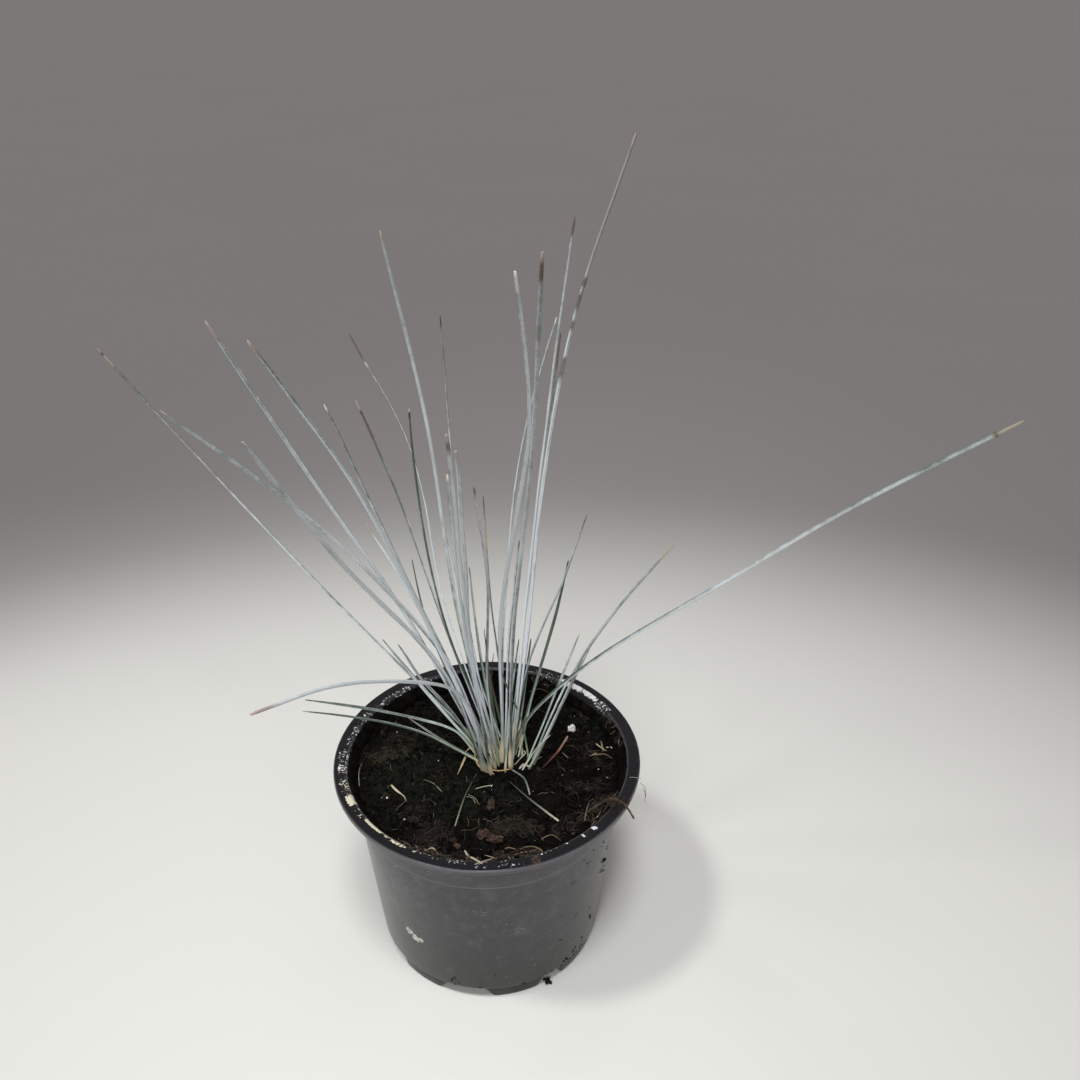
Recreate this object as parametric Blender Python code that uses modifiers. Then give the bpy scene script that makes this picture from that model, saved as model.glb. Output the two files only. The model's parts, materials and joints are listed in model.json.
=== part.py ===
"""Potted blue fescue clump: a nursery pot of soil, 49 needle leaves and the litter on the soil.

Metres, +Z up. The origin is the middle of the pot's foot, on the surface that it stands on.
The leaves open towards -X (left), +X (right), -Y (front) and +Y (back).
Sizes are in millimetres and become metres where a shape is made.
"""

import math

import bmesh
import bpy
import numpy as np

OBJECT_NAME = "potted_blue_fescue"
MM = 0.001
GAP = 0.3  # clearance between two pieces that touch

# Pot, turned about Z
POT_HEIGHT = 95.0
RIM_RADIUS = 65.0
LIP_WIDTH = 5.2  # flat top of the lip
LIP_DROP = 3.6  # from the lip's top to where its underside meets the wall
NECK_RADIUS = 57.6  # outside of the wall under the lip
STEP_HEIGHT = 76.0  # moulding line round the wall
STEP_DEPTH = 0.4
BASE_RADIUS = 49.8  # outside of the wall at its lower edge
BASE_HEIGHT = 6.6  # lower edge of the wall
FOOT_RADIUS = 48.6  # outside of the foot ring
FOOT_WIDTH = 2.4
FLOOR_UNDERSIDE = 6.4
FLOOR_TOP = 8.0
WALL = 1.2
DRAIN_RADIUS = 5.0  # hole in the middle of the floor
POT_STEPS = 40
NOTCH_COUNT = 8  # gaps between the lobes of the foot ring, wide and narrow ones in turn
NOTCH_FIRST = -100.5  # degrees, from +X
NOTCH_SIZES = ((12.4, 6.4, 6.0), (6.4, 3.0, 5.0))  # half-width at the bottom and the top, height

# Soil
SOIL_TOP = 88.0
SOIL_EDGE = 86.6  # where the soil meets the wall
SOIL_STEPS = 30
SOIL_RINGS = (10.0, 20.0, 29.0, 37.0, 44.0, 50.5)
LEVEL_RADIUS = 34.0  # the soil is level round the clump
HOLLOW_DEPTH = 1.3  # of the shallow hollows further out

# Leaves: thickness, foot on the soil (x, y), then points along the leaf up to its tip
LEFT_LEAVES = (
    (1.35, (-2.5, 11.0), (-67, 47, 139), (-131, 88, 188), (-186, 128, 228)),
    (1.5, (-1.0, 5.0), (-13, 4, 135), (-38, -3, 181), (-69, -11, 223), (-104, -20, 261)),
    (1.6, (0.0, 2.0), (-28, 5, 155), (-62, 2, 225), (-91, 0, 285)),
    (1.6, (1.5, -0.5), (-19, -6, 158), (-42, -18, 231), (-69, -30, 289)),
    (1.6, (-1.0, -1.5), (-15, -25, 159), (-40, -61, 227), (-55, -95, 285)),
    (1.2, (2.0, 5.0), (-20, 18, 139), (-43, 29, 192), (-63, 40, 238)),
    (0.9, (2.0, 13.0), (-20, 42, 145), (-35, 74, 203), (-63, 105, 244)),
    (1.1, (0.0, 15.5), (-20, 39, 134), (-39, 62, 183), (-59, 85, 221)),
    (1.1, (3.5, 14.0), (-18, 36, 131), (-30, 57, 179), (-35, 78, 220)),
    (1.1, (0.0, 8.5), (-17, 26, 119), (-36, 44, 150), (-55, 60, 174)),
    (1.0, (-3.0, 13.5), (-16, 25.5, 112), (-28, 39, 137), (-34, 50, 161)),
    (1.5, (-4.5, 8.5), (-26, 21.5, 108.5), (-47, 35, 129)),
    (1.3, (-3.5, 4.5), (-13, -5, 120), (-23, -23, 153), (-28, -40, 181)),
    (1.5, (-0.5, -3.0), (-3, -19, 127), (-10, -46, 166), (-31, -77, 193.5), (-44, -93, 203), (-59, -112, 209)),
    (1.3, (-5.5, 6.5), (-13.5, 10.5, 97.5), (-26.5, 12, 102.5), (-54.5, 14.5, 107.5), (-79.5, 16.5, 110)),
    (1.1, (-3.5, 1.5), (-26.5, 5, 102), (-53.5, 5.5, 109), (-78.5, 6.5, 112)),
    (0.9, (-6.0, 4.0), (-21.5, 5, 98), (-36, 4.5, 112)),
)
MIDDLE_LEAVES = (
    (1.5, (3.0, 2.0), (-12, 12, 163), (-21, 19, 242), (-34, 25, 309)),
    (0.9, (2.5, 9.0), (-9, 29, 148), (-15, 50, 211), (-19, 70, 264)),
    (1.5, (2.5, -2.5), (-2, -34, 165), (-1, -82, 241), (1, -129, 303)),
    (1.5, (2.0, -4.5), (-3, -24, 154), (-2, -55, 222), (-1, -85, 278)),
    (1.5, (4.5, 5.0), (-5, 1, 138), (-9, -10, 192), (-10, -20, 238)),
    (0.9, (6.5, 12.5), (-5, 26, 116), (-12, 38, 148), (-19, 50, 175)),
    (1.3, (5.5, 7.5), (-1, 18, 114), (-5, 28, 142), (-8, 36, 166)),
    (1.3, (4.5, -0.5), (1, -7, 140), (3, -21, 195), (0, -35, 241)),
    (0.9, (18.0, 4.0), (15, 10, 106.5), (7, 14, 125), (1, 22, 167), (-1, 30, 203)),
    (1.0, (4.0, 17.0), (0, 29.5, 108.5), (-3, 45, 128)),
    (1.6, (7.0, 2.0), (7, -17, 170), (14, -39, 233), (18, -52, 266), (18, -63, 294), (15, -75, 324)),
    (1.7, (9.0, -1.0), (12, -15, 170), (19, -38, 254), (22, -60, 325)),
    (1.4, (10.0, 8.5), (17, 25, 163), (25, 40, 241), (34, 55, 307)),
    (1.1, (7.0, 9.5), (7, 31, 149), (13.5, 54, 211.5), (28, 75, 262)),
    (1.4, (10.5, 4.0), (17, 14, 149), (23, 22, 214), (34, 31, 278), (54, 40, 339)),
    (1.1, (9.5, 13.5), (16, 37, 145), (24, 62, 203), (30, 85, 252)),
    (1.2, (8.0, 6.0), (7, 20, 117), (10, 33, 148), (13, 45, 174)),
    (1.0, (9.5, 1.5), (10, 17, 118), (12, 30, 151)),
    (1.2, (7.5, -3.0), (9, 10, 113), (13, 22, 139)),
    (1.2, (12.0, 11.0), (15, 25.5, 107.5), (18, 42, 125)),
    (0.8, (2.5, 18.0), (0, 29.5, 102), (1, 44, 115)),
    (1.0, (7.0, 16.0), (3, 18.5, 106.5), (0, 20, 125)),
)
RIGHT_LEAVES = (
    (1.4, (12.5, 7.5), (20, 26.5, 111), (29, 49, 133), (35, 68, 151)),
    (1.0, (10.0, 11.0), (17, 32, 118), (32, 54, 147), (43, 75, 170)),
    (1.1, (12.5, 4.5), (17, 15, 105.5), (23, 28, 123)),
    (1.7, (8.5, 7.0), (17, 9.5, 106), (43, 9, 136.5), (90, 4, 177), (137, -2, 217), (188, -8, 254)),
    (1.3, (20.0, 4.5), (35, 21, 119), (57, 37, 148), (80, 52, 168)),
    (1.1, (16.5, 2.0), (28, 17.5, 112), (40, 35, 135)),
    (1.1, (20.0, 1.5), (32, 18.5, 107.5), (45, 40, 123)),
    (1.2, (18.0, -1.0), (29, 5.5, 112), (40, 12, 138)),
    (1.0, (16.0, -1.0), (21, 1, 96.5), (27, 1, 104.5)),
    (1.8, (14.0, 7.0), (13.5, 9, 93), (14, 11.5, 99)),
)
LEAF_GROUPS = (("left_leaf", LEFT_LEAVES), ("middle_leaf", MIDDLE_LEAVES), ("right_leaf", RIGHT_LEAVES))

# Litter that lies on the soil: thickness and the points of its middle line
LITTER = {
    "dead_leaf_left": (1.1, (-4.5, -6, 89.0), (-8.5, -19, 88.9), (-11.5, -36, 88.9)),
    "dead_leaf_bent": (1.1, (10.5, -4, 89.2), (15.5, -9.5, 89.6), (18, -18.5, 89.1)),
    "dead_leaf_right": (1.2, (10, -11, 89.0), (18.5, -21, 88.9), (30, -33, 88.9)),
    "straw_stub": (1.3, (-9.5, 3.5, 90.4), (-12.5, -6.5, 89.0)),
    "reddish_stem": (1.7, (23.5, -2.5, 89.2), (30.5, 7.5, 90.0), (34.5, 14.5, 92.0)),
    "sheath_curl": (0.7, (-5.5, 6, 90.6), (-2, -1, 89.2), (4, -4.8, 88.8), (9.5, -3.8, 89.0)),
    "root_stick": (1.5, (41.5, -30, 90.6), (47, -27.5, 93.2), (51.5, -27.5, 95.6), (56, -32, 97.5), (59.5, -39, 96.5)),
}
BARK_SIZE = (11.0, 7.5, 3.6)
BARK_PLACE = (2.5, -42.5, 89.9)
PERLITE_SIZE = (3.8, 3.4, 3.2)
PERLITE_PLACE = (36.5, 22.5, 89.8)

LEAF_STEP = 22.0  # length of leaf between two points of its tube
SHEATH_LENGTH = 14.0  # thicker foot of a leaf
SHEATH_SWELL = 1.15
TIP_SHARE = 0.65  # thickness at the tip, of the leaf's own
TAPER_START = 0.6  # where along the leaf the taper to the tip begins
TUBE_RESOLUTION = 1  # six sides

LEAF_BLUE = (0.36, 0.43, 0.43)
LEAF_GREEN = (0.13, 0.17, 0.13)


def clear_scene():
    for old in list(bpy.data.objects):
        bpy.data.objects.remove(old, do_unlink=True)


def make_collection(name):
    collection = bpy.data.collections.new(name)
    bpy.context.scene.collection.children.link(collection)
    return collection


def make_material(name, colour, roughness):
    material = bpy.data.materials.new(name)
    material.use_nodes = True
    shader = material.node_tree.nodes["Principled BSDF"]
    shader.inputs["Base Color"].default_value = (*colour, 1.0)
    shader.inputs["Roughness"].default_value = roughness
    shader.inputs["Metallic"].default_value = 0.0
    material.diffuse_color = (*colour, 1.0)
    return material


def add_object(collection, name, data, place=(0.0, 0.0, 0.0)):
    piece = bpy.data.objects.new(name, data)
    piece.location = [value * MM for value in place]
    collection.objects.link(piece)
    return piece


def add_turned(collection, name, profile, steps, material):
    """Turn a closed profile of (radius, height) points about Z."""
    mesh = bpy.data.meshes.new(name)
    points = [(radius * MM, 0.0, height * MM) for radius, height in profile]
    edges = [(i, (i + 1) % len(points)) for i in range(len(points))]
    mesh.from_pydata(points, edges, [])
    piece = add_object(collection, name, mesh)
    screw = piece.modifiers.new("Turn", "SCREW")
    screw.steps = steps
    screw.render_steps = steps
    screw.use_merge_vertices = True
    screw.merge_threshold = 0.00001
    mesh.materials.append(material)
    return piece


def wall_radius(height):
    """Outside of the tapered wall at a height."""
    share = (height - BASE_HEIGHT) / (POT_HEIGHT - LIP_DROP - BASE_HEIGHT)
    return BASE_RADIUS + share * (NECK_RADIUS - BASE_RADIUS)


def pot_profile():
    """Outer side from the lip down to the foot, then the underside and the inner side back up."""
    top = POT_HEIGHT
    inner_foot = FOOT_RADIUS - FOOT_WIDTH
    lip_inner = RIM_RADIUS - LIP_WIDTH
    outside = [
        (RIM_RADIUS - 0.6, top),
        (RIM_RADIUS, top - 0.7),
        (RIM_RADIUS, top - 2.3),
        (RIM_RADIUS - 0.8, top - 2.9),
        (NECK_RADIUS + 0.4, top - LIP_DROP),
        (NECK_RADIUS - 0.1, top - LIP_DROP - 0.8),
        (wall_radius(STEP_HEIGHT) + STEP_DEPTH, STEP_HEIGHT + 0.3),
        (wall_radius(STEP_HEIGHT), STEP_HEIGHT - 0.3),
        (BASE_RADIUS, BASE_HEIGHT),
        (FOOT_RADIUS, BASE_HEIGHT - 0.9),
        (FOOT_RADIUS - 0.3, 0.0),
    ]
    underside = [
        (inner_foot + 0.3, 0.0),
        (inner_foot, FLOOR_UNDERSIDE),
        (DRAIN_RADIUS, FLOOR_UNDERSIDE),
        (DRAIN_RADIUS, FLOOR_TOP),
    ]
    inside = [
        (wall_radius(FLOOR_TOP + 1.6) - WALL - 1.2, FLOOR_TOP),
        (wall_radius(FLOOR_TOP + 1.6) - WALL, FLOOR_TOP + 1.6),
        (wall_radius(top - 4.6) - WALL, top - 4.6),
        (lip_inner - 1.5, top - 1.9),
        (lip_inner + 0.3, top - 0.5),
    ]
    return outside + underside + inside


def make_notch_cutter(collection):
    """Tapered blocks in a ring, wider at the bottom, for the gaps in the foot ring."""
    shape = bmesh.new()
    depth = 9.0
    for index in range(NOTCH_COUNT):
        angle = math.radians(NOTCH_FIRST + index * 360.0 / NOTCH_COUNT)
        low_half, high_half, height = NOTCH_SIZES[index % len(NOTCH_SIZES)]
        block = bmesh.ops.create_cube(shape, size=1.0)["verts"]
        for vert in block:
            low = vert.co.z < 0.0
            half = low_half if low else high_half
            along = (FOOT_RADIUS + vert.co.x * depth) * MM
            across = vert.co.y * 2.0 * half * MM
            vert.co = (
                along * math.cos(angle) - across * math.sin(angle),
                along * math.sin(angle) + across * math.cos(angle),
                -1.0 * MM if low else height * MM,
            )
    bmesh.ops.recalc_face_normals(shape, faces=shape.faces)
    mesh = bpy.data.meshes.new("foot_notches")
    shape.to_mesh(mesh)
    shape.free()
    cutter = add_object(collection, "foot_notches", mesh)
    cutter.hide_render = True
    cutter.display_type = "WIRE"
    return cutter


def make_pot(collection, cutters):
    material = make_material("pot", (0.055, 0.056, 0.060), 0.45)
    pot = add_turned(collection, "pot", pot_profile(), POT_STEPS, material)
    notches = pot.modifiers.new("Notches", "BOOLEAN")
    notches.operation = "DIFFERENCE"
    notches.object = make_notch_cutter(cutters)
    return pot


def hollow_at(x, y):
    """Depth of the uneven surface below the soil's dome, none near the clump."""
    away = math.hypot(x, y) - LEVEL_RADIUS
    if away <= 0.0:
        return 0.0
    ripple = 0.5 + 0.5 * math.sin(0.21 * x + 1.3) * math.cos(0.17 * y - 0.4)
    return HOLLOW_DEPTH * ripple * min(1.0, away / 10.0)


def make_soil(collection):
    """The filling: it fits the inside of the pot and has a level top with shallow hollows outside."""
    floor = FLOOR_TOP + GAP
    inner_low = wall_radius(FLOOR_TOP + 1.6) - WALL - GAP
    inner_edge = wall_radius(SOIL_EDGE) - WALL - GAP
    top = [(radius, SOIL_TOP) for radius in SOIL_RINGS]
    profile = [(0.0, SOIL_TOP)] + top + [
        (inner_edge - 3.0, SOIL_EDGE + 1.0),
        (inner_edge, SOIL_EDGE),
        (inner_low, FLOOR_TOP + 1.9),
        (inner_low - 1.4, floor),
        (0.0, floor),
    ]
    shape = bmesh.new()
    rings = [shape.verts.new((radius * MM, 0.0, height * MM)) for radius, height in profile]
    lines = [shape.edges.new(pair) for pair in zip(rings, rings[1:])]
    bmesh.ops.spin(
        shape, geom=rings + lines, cent=(0, 0, 0), axis=(0, 0, 1),
        angle=math.tau, steps=SOIL_STEPS, use_merge=True,
    )
    bmesh.ops.remove_doubles(shape, verts=shape.verts, dist=0.00001)
    bmesh.ops.recalc_face_normals(shape, faces=shape.faces)
    for vert in shape.verts:
        x, y, z = (value / MM for value in vert.co)
        if z > SOIL_TOP - 0.5 and math.hypot(x, y) > LEVEL_RADIUS:
            vert.co.z -= hollow_at(x, y) * MM
    mesh = bpy.data.meshes.new("soil")
    shape.to_mesh(mesh)
    shape.free()
    mesh.materials.append(make_material("soil", (0.028, 0.022, 0.016), 0.95))
    return add_object(collection, "soil", mesh)


def smooth_line(route, step):
    """Points along a smooth curve through the route's own points (Catmull-Rom), in mm."""
    knots = [np.array(point, dtype=float) for point in route]
    knots = [2.0 * knots[0] - knots[1]] + knots + [2.0 * knots[-1] - knots[-2]]
    length = sum(np.linalg.norm(b - a) for a, b in zip(knots[1:-2], knots[2:-1]))
    spans = len(route) - 1
    per_span = max(2, round(length / step / spans))
    line = []
    for before, start, end, after in zip(knots, knots[1:], knots[2:], knots[3:]):
        times = [0.0]
        for first, second in ((before, start), (start, end), (end, after)):
            times.append(times[-1] + math.sqrt(np.linalg.norm(second - first)))
        t0, t1, t2, t3 = times
        for share in np.arange(per_span) / per_span:
            t = t1 + share * (t2 - t1)
            a = ((t1 - t) * before + (t - t0) * start) / (t1 - t0)
            b = ((t2 - t) * start + (t - t1) * end) / (t2 - t1)
            c = ((t3 - t) * end + (t - t2) * after) / (t3 - t2)
            ab = ((t2 - t) * a + (t - t0) * b) / (t2 - t0)
            bc = ((t3 - t) * b + (t - t1) * c) / (t3 - t1)
            line.append(((t2 - t) * ab + (t - t1) * bc) / (t2 - t1))
    line.append(knots[-2])
    return np.array(line)


def arc_lengths(line):
    return np.concatenate([[0.0], np.cumsum(np.linalg.norm(np.diff(line, axis=0), axis=1))])


def leaf_radii(line, thickness):
    """A sheath at the foot, an even blade, and a taper to the tip."""
    arcs = arc_lengths(line)
    radii = np.full(len(line), thickness / 2.0)
    sheath = np.clip(1.0 - arcs / SHEATH_LENGTH, 0.0, 1.0)
    radii *= 1.0 + (SHEATH_SWELL - 1.0) * sheath
    taper = np.clip((arcs / arcs[-1] - TAPER_START) / (1.0 - TAPER_START), 0.0, 1.0)
    return radii * (1.0 - (1.0 - TIP_SHARE) * taper ** 1.5)


def closest_shares(start_a, along_a, start_b, along_b):
    """Where along each of two segments they come closest, for rows of segment pairs."""
    offset = start_a - start_b
    aa = (along_a * along_a).sum(1)
    ab = (along_a * along_b).sum(1)
    bb = (along_b * along_b).sum(1)
    ao = (along_a * offset).sum(1)
    bo = (along_b * offset).sum(1)
    crossing = np.maximum(aa * bb - ab * ab, 1e-6)
    share_a = ((ab * bo - bb * ao) / crossing).clip(0.0, 1.0)
    share_b = ((ab * share_a + bo) / bb).clip(0.0, 1.0)
    share_a = ((ab * share_b - ao) / aa).clip(0.0, 1.0)
    return share_a, share_b


def spread_apart(lines, radii, rounds=400, reach=20.0, slack=0.12):
    """Ease the middle lines of neighbouring tubes apart until each pair has its gap."""
    owner = np.concatenate([np.full(len(line) - 1, i) for i, line in enumerate(lines)])
    place = np.concatenate([np.arange(len(line) - 1) for line in lines])
    first, second = np.triu_indices(len(owner), k=1)
    apart = owner[first] != owner[second]
    first, second = first[apart], second[apart]
    for _ in range(rounds):
        starts = np.concatenate([line[:-1] for line in lines])
        alongs = np.concatenate([np.diff(line, axis=0) for line in lines])
        thick = np.concatenate([np.maximum(r[:-1], r[1:]) for r in radii])
        share_a, share_b = closest_shares(starts[first], alongs[first], starts[second], alongs[second])
        point_a = starts[first] + alongs[first] * share_a[:, None]
        point_b = starts[second] + alongs[second] * share_b[:, None]
        between = point_a - point_b
        distance = np.linalg.norm(between, axis=1)
        short = thick[first] + thick[second] + GAP + slack - distance
        crowded = np.nonzero(short > 0.0)[0]
        if not len(crowded):
            break
        for row in crowded:
            side = between[row] / distance[row] if distance[row] > 1e-3 else np.array([0.6, 0.8, 0.0])
            pairs = ((first[row], point_a[row], 0.5), (second[row], point_b[row], -0.5))
            for segment, point, sign in pairs:
                line = lines[owner[segment]]
                lowest = SOIL_TOP + GAP + radii[owner[segment]]
                arcs = arc_lengths(line)
                here = arcs[place[segment]] + np.linalg.norm(point - line[place[segment]])
                weight = np.exp(-((arcs - here) / reach) ** 2)
                move = 0.6 * sign * short[row] * side * weight[:, None]
                move[0, 2] = 0.0
                line += move
                line[1:, 2] = np.maximum(line[1:, 2], lowest[1:])
    return lines


def set_on_soil(line, radius):
    """Raise a leaf's foot so that the slanted end of its tube clears the soil."""
    first = line[1] - line[0]
    slant = math.hypot(first[0], first[1]) / np.linalg.norm(first)
    line[0, 2] = SOIL_TOP + GAP + radius * slant


def add_tube(collection, name, line, radii, material):
    """A capped tube along a line of points, thicker or thinner from point to point."""
    curve = bpy.data.curves.new(name, "CURVE")
    curve.dimensions = "3D"
    curve.bevel_depth = MM
    curve.bevel_resolution = TUBE_RESOLUTION
    curve.use_fill_caps = True
    spline = curve.splines.new("POLY")
    spline.points.add(len(line) - 1)
    for point, place, radius in zip(spline.points, line, radii):
        point.co = (*((place - line[0]) * MM), 1.0)
        point.radius = radius
    curve.materials.append(material)
    return add_object(collection, name, curve, line[0])


def leaf_colour(index, thickness):
    """Wide leaves are paler and bluer, thin ones greener; each differs a little."""
    blue = min(1.0, max(0.0, (thickness - 0.6) / 0.6)) * (0.8 + 0.2 * math.sin(2.4 * index))
    return tuple(green + blue * (pale - green) for green, pale in zip(LEAF_GREEN, LEAF_BLUE))


def make_leaves_and_sticks(collection):
    """All long thin pieces are laid out together, so that none passes through another."""
    names, lines, radii, materials = [], [], [], []
    for group, rows in LEAF_GROUPS:
        for index, (thickness, foot, *rest) in enumerate(rows, start=1):
            name = f"{group}_{index:02d}"
            line = smooth_line([(*foot, SOIL_TOP + GAP)] + rest, LEAF_STEP)
            names.append(name)
            lines.append(line)
            radii.append(leaf_radii(line, thickness))
            materials.append(make_material(name, leaf_colour(index, thickness), 0.6))
    leaf_count = len(names)
    for name, (thickness, *route) in LITTER.items():
        line = smooth_line(route, LEAF_STEP / 3.0)
        names.append(name)
        lines.append(line)
        radii.append(np.full(len(line), thickness / 2.0))
        colour = (0.20, 0.08, 0.05) if name == "reddish_stem" else (0.24, 0.20, 0.13)
        materials.append(make_material(name, colour, 0.8))
    spread_apart(lines, radii)
    for line, radius in zip(lines[:leaf_count], radii):
        set_on_soil(line, radius[0])
    for piece in zip(names, lines, radii, materials):
        add_tube(collection, *piece)


def add_lump(collection, name, size, place, subdivisions, material):
    """A rounded, slightly uneven lump, such as a chip of bark or a grain."""
    shape = bmesh.new()
    bmesh.ops.create_icosphere(shape, subdivisions=subdivisions, radius=0.5)
    for vert in shape.verts:
        x, y, z = vert.co
        swell = 1.0 + 0.12 * math.sin(9.0 * x + 2.0) * math.cos(8.0 * y) + 0.06 * math.sin(11.0 * z)
        vert.co = [value * swell * side * MM for value, side in zip((x, y, z), size)]
    mesh = bpy.data.meshes.new(name)
    shape.to_mesh(mesh)
    shape.free()
    mesh.materials.append(material)
    return add_object(collection, name, mesh, place)


def shade_round_pieces(collection):
    for piece in collection.objects:
        if piece.type == "MESH":
            piece.data.shade_smooth()
            piece.data.set_sharp_from_angle(angle=math.radians(35.0))


def main():
    clear_scene()
    parts = make_collection(OBJECT_NAME)
    cutters = make_collection("cutters")
    make_pot(parts, cutters)
    make_soil(parts)
    make_leaves_and_sticks(parts)
    bark = make_material("bark_chip", (0.16, 0.10, 0.06), 0.9)
    add_lump(parts, "bark_chip", BARK_SIZE, BARK_PLACE, 2, bark)
    perlite = make_material("perlite_grain", (0.80, 0.79, 0.76), 0.9)
    add_lump(parts, "perlite_grain", PERLITE_SIZE, PERLITE_PLACE, 2, perlite)
    shade_round_pieces(parts)


main()
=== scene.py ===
"""Looks of the potted blue fescue clump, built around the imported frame.

The tables and sizes are in millimetres, and become metres where a mesh or a node takes them. Lamps
are in metres. Leaves and litter follow the middle lines of their CAD nodes, the soil the top of its
node and the pot the box of its node.
"""

import json
import math

import bmesh
import bpy
import numpy as np
from mathutils import Matrix, Vector, noise
from mathutils.bvhtree import BVHTree


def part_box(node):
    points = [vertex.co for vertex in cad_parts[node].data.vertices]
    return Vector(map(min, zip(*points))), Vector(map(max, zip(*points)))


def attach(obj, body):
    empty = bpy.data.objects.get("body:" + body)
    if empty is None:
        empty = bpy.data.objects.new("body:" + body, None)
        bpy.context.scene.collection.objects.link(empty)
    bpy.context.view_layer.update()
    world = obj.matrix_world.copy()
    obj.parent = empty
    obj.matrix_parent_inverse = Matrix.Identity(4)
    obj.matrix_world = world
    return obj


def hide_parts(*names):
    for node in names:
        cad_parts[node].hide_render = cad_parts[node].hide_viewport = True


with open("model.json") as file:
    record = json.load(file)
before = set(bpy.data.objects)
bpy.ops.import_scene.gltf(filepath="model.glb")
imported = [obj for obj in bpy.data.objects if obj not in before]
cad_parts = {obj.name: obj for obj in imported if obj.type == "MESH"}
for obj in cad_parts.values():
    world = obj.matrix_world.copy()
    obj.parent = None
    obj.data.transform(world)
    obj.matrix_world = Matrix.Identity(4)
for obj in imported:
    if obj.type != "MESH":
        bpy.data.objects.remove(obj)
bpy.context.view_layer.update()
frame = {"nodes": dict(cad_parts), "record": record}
NODE_SLOTS = {part["node"]: part["material_slot"] for part in frame["record"]["subparts"]}

MM = 0.001

# ---------------------------------------------------------------- sizes (mm)

RIM_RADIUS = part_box("pot")[1].x / MM
POT_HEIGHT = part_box("pot")[1].z / MM
LIP_WIDTH = 5.2
LIP_DROP = 3.6
NECK_RADIUS = RIM_RADIUS - 7.4
STEP_HEIGHT = 76.0
STEP_DEPTH = 0.35
BASE_RADIUS = 49.8
BASE_HEIGHT = 6.6
FOOT_RADIUS = 48.6
FOOT_WIDTH = 2.4
FOOT_TOP = 6.0  # points of the ring below it move up where the ring has a gap
FLOOR_UNDERSIDE = 6.4
FLOOR_TOP = 8.0
WALL = 1.2
DRAIN_RADIUS = 5.0
FLOOR_RING = 30.0  # radius of a ring between the drain hole and the wall
NOTCH_COUNT = 8
NOTCH_FIRST = -100.5  # degrees, from +X
NOTCH_SIZES = ((15.5, 7.6, 6.0), (8.0, 3.4, 5.0))  # half-width at the bottom and top (degrees), height
NOTCH_LIMIT = 6.2  # more than the highest notch, so that the ring never folds over
POT_STEPS = 360

SOIL_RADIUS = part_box("soil")[1].x / MM
SOIL_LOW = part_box("soil")[0].z / MM
SOIL_RINGS = 112
SOIL_STEPS = 400
SOIL_TOP_LEVEL = 88.6  # lowest that the root stick's hairs hang
CLUMP_CENTRE = (5.0, 5.5)
FUNNEL_LOW, FUNNEL_RADIUS, FUNNEL_SLOPE = 90.4, 56.3, 0.8  # the inner wall's widening under the lip
SLOPE_RADIUS = 61.0  # where that slope meets the lip's top
# How high a film of soil clings to it, a dark sheet that also stands in for the shade there: azimuth in
# degrees, height
SOIL_AND_SHADE_FILM_TOPS = (
    (0, 94.4), (22, 94.0), (32, 91.9), (57, 91.9), (66, 93.9), (100, 93.9), (122, 93.4), (142, 93.2),
    (160, 93.8), (200, 94.2), (240, 94.4), (360, 94.4),
)
FILM_LIMIT = 94.5  # the film stays below the lip's top
FILM_BACK = 88.0  # lower edge of the film's hidden back
SOIL_CUT = SOIL_LOW + 30.0  # where the surface closes, inside the filling

LEAF_STEP = 2.0
LEAF_SIDES = 20
LEAF_RIBS = 5
GOLDEN_ANGLE = 2.399  # turn from one leaf's groove to the next one's
ROOTED = 1.6  # how far a leaf's foot goes on into the soil
TUBE_DOME = 0.35  # how far a tube's end points stand out, as a share of its radius
LITTER_SIDES = 12
LUMP_SCALE = 0.35  # size of a lump's facets, for a ball with a radius of 1

# Crumbs on the soil: count, steps of subdivision, smallest and largest size
CRUMB_SORTS = ((460, 2, 0.6, 1.7), (3000, 1, 0.2, 0.7))
FIBRE_COUNT = 560
MOSS_COUNT = 800
ROOT_HAIR_COUNT = 210
FINE_GRAIN_COUNT = 26
DIRT_PER_SPOT = 4  # crumbs at each place of POT_DIRT
FOOT_LUMP_PARTS = 12

# Start numbers of the random draws, so that every run makes the same shapes
SEEDS = {
    "crumbs": 11, "loose fibres": 23, "fibre bands": 37, "moss": 41, "root hairs": 53, "lumps": 61,
    "pot dirt": 71, "lip litter": 83,
}

# ---------------------------------------------------------------- colours (linear)

BLOOM = (0.80, 0.91, 0.90)
COOL_BLOOM = (0.80, 0.83, 0.93)
UPPER_BLOOM = (0.58, 0.62, 0.65)
DARK_GREEN = (0.040, 0.060, 0.048)
WORN_GREEN = (0.085, 0.115, 0.078)
FRESH_GREEN = (0.17, 0.22, 0.12)
FOOT_BROWN = (0.40, 0.23, 0.12)
MARK_COLOURS = {
    "pale": (0.62, 0.60, 0.55),
    "pink": (0.36, 0.28, 0.26),
    "buff": (0.36, 0.30, 0.235),
    "brown": (0.11, 0.072, 0.055),
    "dark": (0.022, 0.018, 0.015),
    "red": (0.20, 0.105, 0.08),
    "straw": (0.40, 0.36, 0.24),
    "cream": (1.0, 0.90, 0.66),
    "tan": (0.74, 0.55, 0.38),
    "milk": (0.78, 0.79, 0.58),
    "green": (0.34, 0.42, 0.24),
    "grey": (0.32, 0.31, 0.31),
    "dusk": (0.095, 0.090, 0.085),
}

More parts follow.
